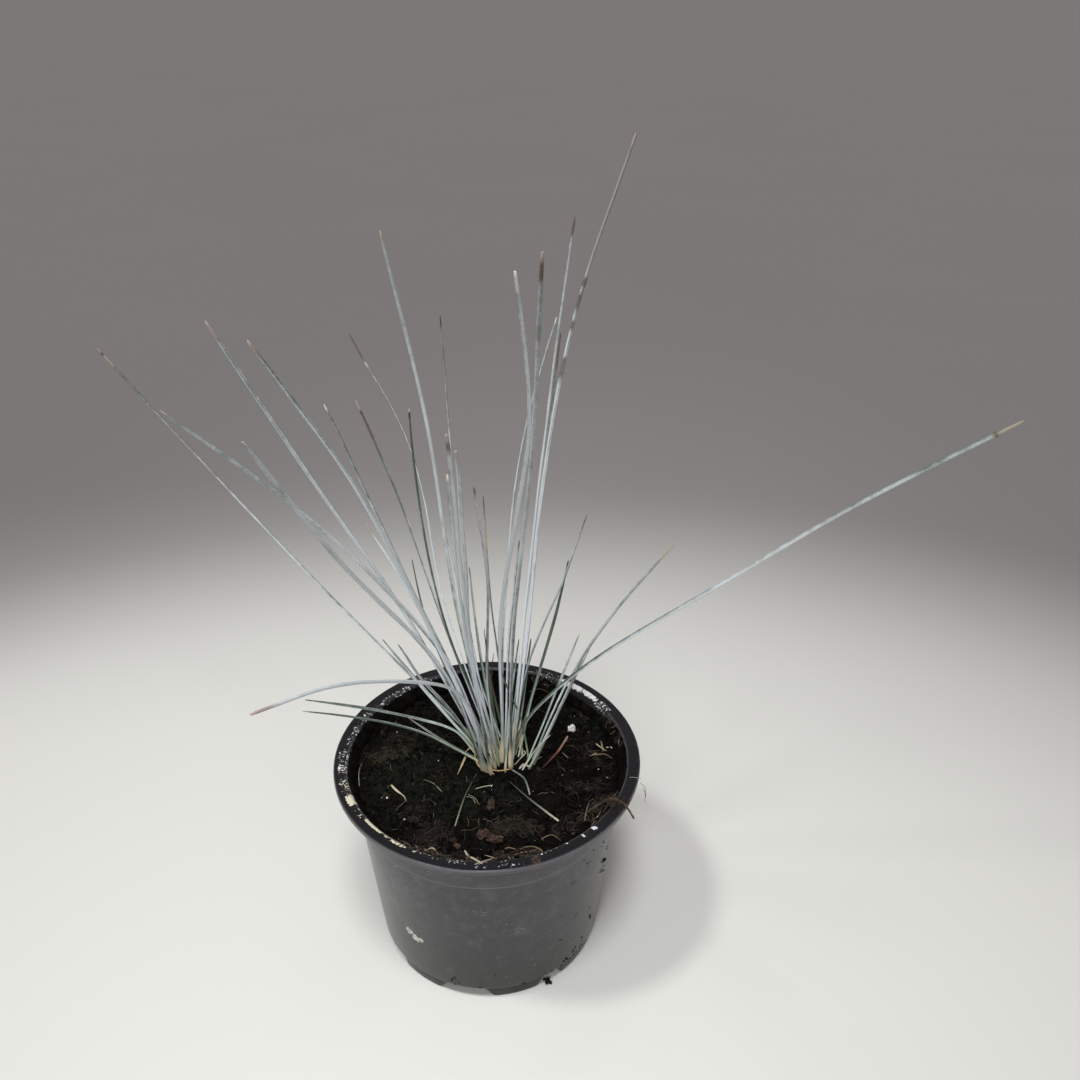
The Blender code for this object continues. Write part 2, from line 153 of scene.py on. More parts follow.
# Looks of the leaves, in the order of their nodes: bloom at the foot, in the middle and at the tip
# (0 dark green, 1 pale), marks (colour, start and end in mm from the tip, one after another) and, on
# some, a sheath (colour, length, swell) or None and beads (mm from the tip)
LEAF_LOOKS = {
    "left": (
        (0.95, 0.84, 0.42, ("pink", 0, 3, "dark", 4, 6, "buff", 6, 13), None, (5,)),
        (0.82, 1.02, 0.62, ("pink", 0, 3)),
        (0.80, 1.04, 0.50, ("pink", 0, 7)),
        (0.80, 1.04, 0.52, ("pink", 0, 6), ("milk", 10, 1.35)),
        (0.84, 1.06, 0.80, (), ("milk", 10, 1.35)),
        (0.78, 1.02, 0.52, ("pale", 0, 3, "dark", 3, 4), None, (1,)),
        (0.66, 0.72, 0.24, ("brown", 2, 14, "pale", 15, 18), None, (17,)),
        (0.62, 0.62, 0.34, ("pink", 0, 5, "dark", 5, 8, "brown", 8, 20)),
        (0.55, 0.60, 0.24, ("pale", 0, 1.6, "dark", 1.6, 5), None, (1,)),
        (0.60, 0.84, 0.76, ("buff", 0, 6)),
        (0.55, 0.50, 0.36, ("dark", 0, 4)),
        (0.80, 0.62, 0.30, ("dark", 0, 2), ("green", 16, 1.25)),
        (0.76, 0.92, 0.95, ("buff", 0, 4)),
        (0.80, 1.10, 1.05, ("pink", 0, 7), ("cream", 11, 1.5)),
        (0.52, 0.32, 0.26, ("dark", 0, 2.5)),
        (0.52, 0.42, 0.34, ("buff", 0, 3)),
        (0.40, 0.40, 0.42, ("red", 0, 6)),
    ),
    "middle": (
        (0.84, 1.00, 0.80, ("buff", 0, 4), ("cream", 15, 1.55)),
        (0.74, 0.92, 0.52, ("dark", 0, 5)),
        (0.80, 1.06, 0.84, ("pink", 0, 4, "brown", 4, 8), ("cream", 10, 1.4)),
        (0.82, 1.02, 0.80, ("pink", 0, 4), ("cream", 13, 1.55)),
        (0.78, 1.02, 0.80, ("pale", 0, 3)),
        (0.56, 0.56, 0.70, ("buff", 0, 4)),
        (0.45, 0.26, 0.46, ("brown", 0, 4)),
        (0.52, 0.16, 0.66, ("brown", 0, 3), ("green", 18, 1.25)),
        (0.54, 0.48, 0.50, ("straw", 12, 24, "brown", 0, 5)),
        (0.34, 0.24, 0.20, ("dark", 0, 8)),
        (0.84, 1.10, 0.80, ("pale", 0, 7), ("cream", 20, 1.75)),
        (0.84, 1.04, 0.72, ("pink", 0, 4, "brown", 4, 10), ("cream", 18, 1.6)),
        (0.78, 0.92, 0.52, ("brown", 0, 7), ("tan", 16, 1.5)),
        (0.78, 1.02, 0.60, ("pale", 0, 3)),
        (0.70, 0.82, 0.50, ("pink", 0, 4, "brown", 5, 8, "grey", 8, 50,
         "dusk", 51, 55, "dusk", 58, 64, "dusk", 68, 71, "dusk", 82, 90), None, (2, 53)),
        (0.70, 0.62, 0.24, ("brown", 0, 16), ("tan", 9, 1.35)),
        (0.40, 0.44, 0.50, ("dark", 0, 4)),
        (0.55, 0.56, 0.70, ("brown", 0, 3)),
        (0.48, 0.42, 0.26, ("dark", 0, 6), ("tan", 7, 1.2)),
        (0.40, 0.20, 0.16, ("dark", 0, 5), ("tan", 13, 1.5)),
        (0.34, 0.22, 0.10, ("dark", 0, 14)),
        (0.34, 0.22, 0.10, ("brown", 0, 16)),
    ),
    "right": (
        (0.38, 0.20, 0.26, ("pale", 0, 1.4, "dark", 1.4, 5), None, (1,)),
        (0.54, 0.50, 0.48, ("brown", 0, 7)),
        (0.40, 0.30, 0.26, ("dark", 0, 3)),
        (0.50, 0.94, 0.62, ("buff", 0, 8, "brown", 9, 11), None, (10,)),
        (0.62, 0.56, 0.50, ("straw", 0, 10)),
        (0.46, 0.58, 0.62, ("pale", 0, 4)),
        (0.46, 0.44, 0.46, ("pale", 0, 3)),
        (0.48, 0.50, 0.40, ("brown", 0, 3)),
        (0.62, 0.72, 0.74, ("pale", 0, 8)),
        (0.40, 0.40, 0.40, ("tan", 0, 14)),
    ),
}

# Litter on the soil that has a CAD node: slot, flatness, share of the node's thickness and colour
# at its start, middle and end
LITTER_LOOKS = {
    "dead_leaf_left": ("dry_leaf", 0.6, (0.35, 0.65, 0.80),
                       ((0.05, 0.055, 0.04), (0.085, 0.092, 0.065), (0.26, 0.26, 0.19))),
    "dead_leaf_bent": ("dry_leaf", 0.6, (0.75, 0.75, 0.65),
                       ((0.17, 0.20, 0.20), (0.115, 0.14, 0.125), (0.36, 0.35, 0.27))),
    "dead_leaf_right": ("dry_leaf", 0.7, (0.35, 0.62, 0.75),
                        ((0.04, 0.045, 0.035), (0.105, 0.125, 0.10), (0.42, 0.43, 0.34))),
    "straw_stub": ("straw", 0.6, (0.65, 0.75, 0.3),
                   ((0.40, 0.31, 0.15), (0.45, 0.37, 0.21), (0.34, 0.27, 0.14))),
    "reddish_stem": ("stem", 0.8, (0.42, 0.60, 0.50),
                     ((0.03, 0.014, 0.011), (0.150, 0.060, 0.042), (0.32, 0.21, 0.17))),
    "sheath_curl": ("dry_leaf", 0.5, (0.8, 1.05, 0.5),
                    ((0.50, 0.30, 0.13), (0.60, 0.46, 0.30), (0.40, 0.27, 0.15))),
    "root_stick": ("root", 0.9, (0.7, 0.85, 0.5),
                   ((0.050, 0.035, 0.026), (0.075, 0.050, 0.038), (0.07, 0.045, 0.034))),
}

# Loose scraps without a node: thickness, colour at the start and end, points (x, y, height over soil)
CREAM, TAN = (0.55, 0.48, 0.35), (0.22, 0.155, 0.090)
BROWN, GREY = (0.065, 0.042, 0.029), (0.34, 0.35, 0.31)
SCRAPS = (
    (1.7, CREAM, CREAM, ((-40, -12, 0.5), (-38, -15, 1.0), (-35.5, -17.5, 0.7))),
    (1.0, CREAM, BROWN, ((-35.5, -17.5, 0.7), (-34, -19, 0.6), (-32.5, -22, 0.3))),
    (1.1, CREAM, TAN, ((-22.5, -48, 0.5), (-19.5, -47.5, 1.8), (-17, -49.5, 0.5))),
    (0.6, TAN, CREAM, ((1, -50.5, 0.6), (5, -52, 0.8))),
    (0.9, TAN, BROWN,
     ((13, -47.5, 1.2), (10, -47, 1.3), (8, -49.5, 1.2), (9.5, -52.5, 1.0), (12.5, -52, 1.0))),
    (1.0, BROWN, TAN,
     ((13, -48.5, 0.8), (17, -46.5, 1.4), (21, -47, 1.9), (23.5, -49.5, 2.2), (22, -52.5, 2.0))),
    (1.6, CREAM, TAN, ((18.5, -48.5, 1.6), (20.5, -50.5, 2.0), (22, -52.5, 1.6))),
    (0.7, TAN, BROWN, ((14, -50.5, 0.8), (18, -51.5, 1.4), (21.5, -49.5, 1.2))),
    (1.3, TAN, TAN, ((49.5, 16.5, 1.0), (50, 9.5, 1.0))),
    (1.0, CREAM, TAN, ((47, 14, 1.2), (49, 11, 1.6), (51.5, 9.5, 1.2))),
    (0.9, TAN, BROWN, ((45.5, 6.5, 0.8), (50.5, 7, 1.2), (56, 5, 0.9))),
    (0.9, CREAM, TAN, ((51.5, 12, 1.0), (55, 12.5, 1.5), (56.5, 8, 1.2))),
    (0.6, TAN, BROWN, ((51.5, 15.5, 0.8), (55.5, 15, 1.2))),
    (0.8, TAN, CREAM, ((44, 6, 0.8), (47, 7, 1.4))),
    (1.0, TAN, CREAM, ((50.5, -6.5, 0.8), (53, -7.5, 0.9))),
    (1.1, CREAM, TAN, ((53, -1.5, 0.6), (54, -3.5, 0.8))),
    (1.1, BROWN, (0.2, 0.15, 0.11), ((43, -22, 2.6), (41.5, -27, 1.6), (40.5, -32, 0.8))),
    (0.8, CREAM, TAN, ((46, -31, 1.8), (49, -28.5, 2.6))),
    (0.9, GREY, GREY, ((11.5, 0, 0.6), (14, 3.5, 1.2), (16, 6, 2.2), (14.5, 7.5, 2.4))),
    (0.6, GREY, GREY, ((18.5, 1, 0.6), (23, 4, 1.6))),
    (1.9, GREY, (0.5, 0.47, 0.36), ((13.5, -2.5, 0.6), (15.5, -0.5, 1.2), (18, -1.5, 0.8))),
    (0.8, (0.22, 0.24, 0.13), (0.42, 0.42, 0.26), ((-6.5, -16, 0.6), (-2.5, -14.5, 1.2), (2, -13, 1.0))),
    (0.5, (0.3, 0.3, 0.18), TAN, ((-7.5, -18, 0.6), (-4, -21, 0.9), (-2.5, -24, 0.5))),
    (0.45, GREY, TAN, ((-8, -19.5, 0.8), (-5.5, -20.5, 1.0), (-4, -23.5, 0.6))),
    (0.4, TAN, CREAM, ((-26.5, -9.5, 0.6), (-22.5, -12, 1.0), (-18.5, -16.5, 0.6))),
    (1.0, BROWN, TAN, ((32, 8, 0.8), (34.5, 4.5, 0.8))),
    (0.8, TAN, BROWN, ((23, -42, 0.8), (27, -40.5, 1.6), (31, -42.5, 0.8))),
    (0.9, (0.5, 0.36, 0.16), (0.6, 0.5, 0.3),
     ((-10, 5.5, 2.6), (-7.5, 8, 3.2), (-4.5, 6, 2.4), (-2.5, 2, 1.4))),
    (1.0, (0.5, 0.30, 0.13), (0.6, 0.44, 0.26),
     ((-6, 4.5, 2.0), (-4.2, -0.8, 1.1), (-1.0, -4.3, 0.8), (3.0, -6.0, 0.7))),
    (0.45, TAN, GREY, ((-58, -2.5, 2.2), (-57.5, -9.5, 3.0), (-58, -15, 2.4))),
    (0.5, TAN, BROWN, ((-56, 4.5, 0.6), (-54.5, 1.5, 1.4), (-57, -5.5, 1.0))),
    (0.4, TAN, BROWN, ((17, 47, 3.5), (22, 48, 5.0), (28, 46, 3.0))),
)

# Patches of brown fibre: width, heap height, number of fibres, colour, points (x, y) of the middle
FIBRE_BANDS = (
    (7, 1.3, 240, (0.060, 0.050, 0.031), ((-50, 3), (-45, 8), (-39, 9), (-34, 7))),
    (6, 0.9, 90, (0.050, 0.040, 0.027), ((-46, 19.5), (-39, 17.5), (-32.5, 19.5))),
    (9, 2.2, 300, (0.042, 0.029, 0.024), ((-24, -46), (-20, -39), (-16, -34))),
    (8, 2.2, 300, (0.055, 0.043, 0.031), ((3, -38), (9, -35), (15, -35), (21, -38))),
    (5, 1.6, 170, (0.056, 0.037, 0.028), ((-26.5, -47), (-15.5, -50), (-5.5, -52))),
    (6, 1.8, 220, (0.064, 0.042, 0.030), ((4, -52), (12, -51), (22, -48))),
    (6, 1.4, 110, (0.055, 0.038, 0.029), ((27, -38), (35, -33), (41.5, -29))),
    (7, 1.0, 90, (0.058, 0.036, 0.027), ((40, 12), (47, 6), (51, -2))),
    (8, 0.8, 90, (0.050, 0.034, 0.026), ((34, -14), (43.5, -10.5), (50, -14))),
)

# Pale grains: x, y, size
GRAINS = (
    (-50, -10, 0.8), (-41, -19, 1.0), (-42, 22.5, 0.6), (-21.5, 2.5, 0.6), (2, -12.5, 0.7),
    (44.5, 22.5, 0.5), (49.5, 1.5, 0.8), (47.5, -1.5, 0.6), (-32.5, -31, 0.9),
)

# Small bits of bark: x, y, size
BARK_BITS = (
    (-29, -31, 2.6), (-26.5, -26, 2.2), (-31, -25, 1.8), (-24, -34, 2.2), (8, -36, 1.8), (19, -33, 2.0),
    (34, -14, 1.6), (-44, 10, 1.8), (47, -8, 1.4), (-12, -42, 1.6),
)
CHIP_PLACE = (2.6, -23.5)  # a long chip in front of the clump

# ---------------------------------------------------------------- camera and light

CAMERA_PLACE = (21.8, -340.7, 400.3)
CAMERA_PITCH = 30.37  # degrees below the horizon
CAMERA_ROLL = 0.35
CAMERA_LENS = 35.0  # on a 36 mm sensor
# Lamps: name, place and target in metres, radius, beam in degrees, soft edge, power, colour
LAMPS = (
    ("key", (-0.50, -0.24, 1.30), (-0.06, -0.31, 0.0), 0.08, 52.0, 0.16, 24.5, (0.985, 1.0, 0.965)),
    ("overhead", (0.02, -0.44, 1.40), (-0.05, -0.39, 0.0), 0.15, 54.0, 0.16, 31.0, (0.985, 1.0, 0.97)),
    ("front", (-0.12, -0.88, 0.80), (-0.01, -0.06, 0.08), 0.18, 31.0, 0.80, 15.5, (0.985, 1.0, 0.985)),
)
ROOM_LIGHT = (0.245, 0.228, 0.232)


def placed(name, data):
    """A new object in the scene."""
    made = bpy.data.objects.new(name, data)
    bpy.context.scene.collection.objects.link(made)
    return made


def add_camera():
    data = bpy.data.cameras.new("camera")
    data.lens = CAMERA_LENS
    data.sensor_width = 36.0
    data.dof.use_dof = False
    camera = placed("camera", data)
    pitch = Matrix.Rotation(math.radians(90.0 - CAMERA_PITCH), 4, "X")
    roll = Matrix.Rotation(math.radians(CAMERA_ROLL), 4, "Z")
    camera.matrix_world = Matrix.Translation(Vector(CAMERA_PLACE) * MM) @ pitch @ roll
    bpy.context.scene.camera = camera


def add_lights():
    """Soft lamps whose light falls off to grey past their beams, and an even light from all round."""
    for name, place, target, radius, beam, edge, power, colour in LAMPS:
        data = bpy.data.lights.new(name, "SPOT")
        data.shadow_soft_size = radius
        data.spot_size = math.radians(beam)
        data.spot_blend = edge
        data.energy = power
        data.color = colour
        lamp = placed(name, data)
        lamp.location = place
        lamp.rotation_euler = (Vector(target) - Vector(place)).to_track_quat("-Z", "Y").to_euler()
    world = bpy.data.worlds.new("studio")
    world.use_nodes = True
    background = world.node_tree.nodes["Background"].inputs
    background["Color"].default_value = (*ROOM_LIGHT, 1.0)
    background["Strength"].default_value = 1.0
    bpy.context.scene.world = world
    bpy.context.scene.view_settings.view_transform = "Standard"


# ---------------------------------------------------------------- node materials


class Wire:
    """A node's output; sums and products of it add nodes to its material."""

    def __init__(self, paint, socket):
        self.paint, self.socket = paint, socket

    def __add__(self, other):
        return self.paint.maths("ADD", self, other)

    def __sub__(self, other):
        return self.paint.maths("SUBTRACT", self, other)

    def __rsub__(self, other):
        return self.paint.maths("SUBTRACT", other, self)

    def __mul__(self, other):
        return self.paint.maths("MULTIPLY", self, other)

    def step(self, low, high):
        """0 below low, 1 above high, smooth between; reversed where low is above high."""
        inputs = {"Value": self, "From Min": low, "From Max": high}
        return self.paint.node("ShaderNodeMapRange", "Result", inputs, interpolation_type="SMOOTHSTEP")


class Paint:
    """A Principled material with short calls for the nodes that drive it."""

    def __init__(self, name, roughness, specular):
        self.material = bpy.data.materials.new(name)
        self.material.use_nodes = True
        self.tree = self.material.node_tree
        self.set("Roughness", roughness)
        self.set("Specular IOR Level", specular)
        self.place = self.node("ShaderNodeNewGeometry", "Position")

    def feed(self, target, value):
        """Link a wire to an input, or put an even number, vector or colour on it."""
        if isinstance(value, Wire):
            self.tree.links.new(value.socket, target)
        else:
            target.default_value = (*value, 1.0) if target.type == "RGBA" else value

    def set(self, socket, value):
        self.feed(self.tree.nodes["Principled BSDF"].inputs[socket], value)

    def node(self, kind, output, inputs=None, **settings):
        made = self.tree.nodes.new(kind)
        for key, value in settings.items():
            setattr(made, key, value)
        for key, value in (inputs or {}).items():
            self.feed(made.inputs[key], value)
        return Wire(self, made.outputs[output])

    def value(self, name):
        """A point value of the mesh."""
        return self.node("ShaderNodeAttribute", "Fac", attribute_name=name)

    def colour(self, name):
        """A point colour of the mesh."""
        return self.node("ShaderNodeAttribute", "Color", attribute_name=name)

    def noise(self, scale, detail=3.0, rough=0.55, vector=None):
        inputs = {"Vector": vector or self.place, "Scale": scale, "Detail": detail, "Roughness": rough}
        return self.node("ShaderNodeTexNoise", "Fac", inputs)

    def cells(self, scale):
        return self.node("ShaderNodeTexVoronoi", "Distance", {"Vector": self.place, "Scale": scale})

    def maths(self, operation, first, second=0.0, clamp=False):
        inputs = {0: first, 1: second}
        return self.node("ShaderNodeMath", "Value", inputs, operation=operation, use_clamp=clamp)

    def stretched(self, vector, scale, turn=None):
        """A vector, turned about Z where a turn is given, times the scale of each axis."""
        if turn is not None:
            inputs = {"Vector": vector, "Angle": turn}
            vector = self.node("ShaderNodeVectorRotate", "Vector", inputs, rotation_type="Z_AXIS")
        return self.node("ShaderNodeVectorMath", "Vector", {0: vector, 1: scale}, operation="MULTIPLY")

    def away(self, place):
        """Distance, in mm, from a place given in mm."""
        inputs = {0: self.place, 1: tuple(value * MM for value in place)}
        return self.node("ShaderNodeVectorMath", "Value", inputs, operation="DISTANCE") * (1.0 / MM)

    def near(self, spots, core):
        """1 in the core of one of the spots, a share of its reach, and 0 past its reach."""
        total = 0.0
        for place, reach in spots:
            total = self.maths("MAXIMUM", self.away(place).step(reach, core * reach), total)
        return total

    def mix(self, share, first, second):
        """Colour first where share is 0, second where it is 1."""
        return self.node("ShaderNodeMix", 2, {0: share, 6: first, 7: second}, data_type="RGBA")

    def layered(self, colour, *layers):
        """The colour under layers, each with its share and its colour."""
        for share, over in layers:
            colour = self.mix(share, colour, over)
        return colour

    def scaled(self, colour, amount):
        """The colour times a value."""
        inputs = {0: colour, "Scale": amount}
        return self.node("ShaderNodeVectorMath", "Vector", inputs, operation="SCALE")

    def bump(self, height, distance, strength, below=None):
        """A surface direction from a height; the distance is in mm."""
        inputs = {"Height": height, "Distance": distance * MM, "Strength": strength}
        if below is not None:
            inputs["Normal"] = below
        return self.node("ShaderNodeBump", "Normal", inputs)


# ---------------------------------------------------------------- mesh building


class MeshBuilder:
    """Collects many shapes, in mm, with values and colours for their points, for one joined mesh."""

    def __init__(self):
        self.points, self.faces, self.values, self.count = [], [], {}, 0

    def add(self, points, faces, **values):
        points = np.asarray(points, float)
        self.points.append(points)
        self.faces.extend([index + self.count for index in face] for face in faces)
        for key, value in values.items():
            rows = np.asarray(value, float)
            wanted = (len(points), 3) if rows.shape[-1:] == (3,) else (len(points),)
            self.values.setdefault(key, []).append(np.broadcast_to(rows, wanted))
        self.count += len(points)

    def make(self, name, material, slot, *nodes, sharp_angle=180.0):
        """Make the piece, which rides on the root body and stands for the nodes named.

        Edges that bend by more than the angle, in degrees, are sharp.
        """
        mesh = bpy.data.meshes.new(name)
        mesh.from_pydata((np.concatenate(self.points) * MM).tolist(), [], self.faces)
        for key, parts in self.values.items():
            rows = np.concatenate(parts).astype(np.float32)
            if rows.ndim == 2:
                layer = mesh.attributes.new(key, "FLOAT_COLOR", "POINT")
                rows = np.hstack([rows, np.ones((len(rows), 1), np.float32)])
                layer.data.foreach_set("color", rows.ravel())
            else:
                mesh.attributes.new(key, "FLOAT", "POINT").data.foreach_set("value", rows)
        mesh.materials.append(material)
        mesh.shade_smooth()
        mesh.set_sharp_from_angle(angle=math.radians(sharp_angle))
        piece = placed(name, mesh)
        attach(piece, "root")
        if nodes:
            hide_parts(*nodes)
        return piece


def polar(radius, angle):
    return radius * math.cos(angle), radius * math.sin(angle)


def kept_inside(x, y, limit):
    """The place, or the one at the limit where it lies farther from the middle."""
    away = math.hypot(x, y)
    return (x * limit / away, y * limit / away) if away > limit else (x, y)


def smoothstep(value, low, high):
    share = np.clip((np.asarray(value, float) - low) / (high - low), 0.0, 1.0)
    return share * share * (3.0 - 2.0 * share)


def arc_lengths(line):
    return np.concatenate([[0.0], np.cumsum(np.linalg.norm(np.diff(line, axis=0), axis=1))])


def smooth_line(route, step):
    """Evenly spaced points on a smooth curve through the route's points."""
    route = np.asarray(route, float)
    times = arc_lengths(route)
    slopes = np.gradient(route, times, axis=0)
    fine = np.linspace(0.0, times[-1], max(2, round(times[-1] / step)) + 1)
    at = np.clip(np.searchsorted(times, fine, side="right") - 1, 0, len(route) - 2)
    span = (times[at + 1] - times[at])[:, None]
    share = (fine - times[at])[:, None] / span
    start = (1.0 + 2.0 * share) * (1.0 - share) ** 2
    end = share ** 2 * (3.0 - 2.0 * share)
    leave = share * (1.0 - share) ** 2 * span
    arrive = share ** 2 * (share - 1.0) * span
    return start * route[at] + end * route[at + 1] + leave * slopes[at] + arrive * slopes[at + 1]


def side_vectors(line):
    """Two unit vectors across a line at each of its points, turning as little as they can."""
    tangents = np.gradient(line, axis=0)
    tangents /= np.linalg.norm(tangents, axis=1)[:, None]
    helper = np.array([0.0, 0.0, 1.0]) if abs(tangents[0][2]) < 0.9 else np.array([0.0, 1.0, 0.0])
    across = np.cross(tangents[0], helper)
    rows = []
    for tangent in tangents:
        across = across - tangent * (across @ tangent)
        across /= np.linalg.norm(across)
        rows.append(across)
    first = np.array(rows)
    return first, np.cross(tangents, first), tangents


def ring_faces(rings, sides, closed=False):
    """Faces between each ring of points and the next, and back to the first ring where closed."""
    faces = []
    for ring in range(rings if closed else rings - 1):
        low, high = ring * sides, (ring + 1) % rings * sides
        for side in range(sides):
            after = (side + 1) % sides
            faces.append((low + side, low + after, high + after, high + side))
    return faces


def tube(line, radii, outline, turn=0.0):
    """A closed tube of a given section; outline has a row (x, y) per side, for a radius of 1."""
    first, second, tangents = side_vectors(line)
    sides, count = len(outline), len(line)
    turns = np.linspace(0.0, turn, count)[:, None]
    x = outline[:, 0] * np.cos(turns) - outline[:, 1] * np.sin(turns)
    y = outline[:, 0] * np.sin(turns) + outline[:, 1] * np.cos(turns)
    rings = line[:, None] + radii[:, None, None] * (
        x[..., None] * first[:, None] + y[..., None] * second[:, None]
    )
    low_end = line[0] - tangents[0] * radii[0] * TUBE_DOME
    high_end = line[-1] + tangents[-1] * radii[-1] * TUBE_DOME
    points = np.concatenate([rings.reshape(-1, 3), [low_end, high_end]])
    faces = ring_faces(count, sides)
    last = (count - 1) * sides
    for side in range(sides):
        after = (side + 1) % sides
        faces.append((count * sides, after, side))
        faces.append((count * sides + 1, last + side, last + after))
    return points, faces


def per_ring(values, sides):
    """Values of a tube's rings, spread to its points and its two end points."""
    values = np.asarray(values, float)
    return np.concatenate([np.repeat(values, sides, axis=0), values[:1], values[-1:]])


def per_side(values, rings):
    """Values of a tube's sides, the same on each ring."""
    return np.concatenate([np.tile(values, rings), [0.5, 0.5]])


def blended(rows, colour, share):
    """Rows of colours moved towards one colour by a share for each row."""
    return rows * (1.0 - share[:, None]) + np.array(colour) * share[:, None]


def round_outline(sides, flatten=1.0):
    angles = np.arange(sides) * math.tau / sides
    return np.stack([np.cos(angles), flatten * np.sin(angles)], axis=1)


def node_line(node):
    """Middle line and radii, in mm, of a CAD node that is a tube, from its lower end on."""
    spots = np.unique(np.round([vert.co / MM for vert in frame["nodes"][node].data.vertices], 3), axis=0)
    reach = 1.25  # points of one ring lie closer than this, those of two rings don't
    rings, left = [], list(range(len(spots)))
    while left:
        ring = [left.pop(0)]
        for index in ring:
            near = [i for i in left if np.linalg.norm(spots[i] - spots[index]) < reach]
            ring += near
            left = [i for i in left if i not in near]
        rings.append(spots[ring])
    centres = np.array([ring.mean(0) for ring in rings])
    radii = np.array([np.linalg.norm(ring - ring.mean(0), axis=1).mean() for ring in rings])
    order = [int(np.argmax(np.linalg.norm(centres - centres.mean(0), axis=1)))]
    while len(order) < len(centres):
        away = np.linalg.norm(centres - centres[order[-1]], axis=1)
        away[order] = np.inf
        order.append(int(np.argmin(away)))
    if centres[order[-1]][2] < centres[order[0]][2]:
        order.reverse()
    return centres[order], radii[order]


# ---------------------------------------------------------------- leaves


def blade_outline():
    """Section of a folded needle leaf, with how much of each side is its groove and its paler face."""
    angles = np.arange(LEAF_SIDES) * math.tau / LEAF_SIDES
    away = np.angle(np.exp(1j * (angles - math.pi / 2.0)))
    radius = 1.0 + 0.05 * np.cos(LEAF_RIBS * angles) - 0.34 * np.exp(-((away / 0.30) ** 2))
    outline = np.stack([radius * np.cos(angles), 0.84 * radius * np.sin(angles)], axis=1)
    groove = np.exp(-((away / 0.42) ** 2))
    face = 0.5 + 0.5 * np.cos(angles - 0.9)
    return outline, groove, face


def leaf_material():
    paint = Paint("fescue_leaf", roughness=0.5, specular=0.35)
    rubbed = paint.noise(230.0, detail=4.0, rough=0.62)
    fine = paint.noise(1500.0, detail=2.0)
    groove = paint.value("groove")
    worn = paint.value("bloom")
    for source, amount in ((rubbed, 0.65), (fine, 0.30), (paint.noise(55.0, detail=2.0), 0.50)):
        worn = worn + (source - 0.5) * amount
    green = paint.mix(paint.noise(90.0), DARK_GREEN, WORN_GREEN)
    bloom = paint.mix(paint.value("cool"), BLOOM, COOL_BLOOM)
    bloom = paint.mix(paint.value("upper"), bloom, UPPER_BLOOM)
    skin = paint.mix((worn - groove * 0.50).step(0.04, 0.94), green, bloom)
    kept = 1.0 - (1.0 - rubbed.step(0.50, 0.66)) * 0.75 * groove
    paint.set("Base Color", paint.mix(paint.value("mark") * kept, skin, paint.colour("mark_colour")))
    paint.set("Normal", paint.bump(fine, 0.05, 0.6))
    return paint.material


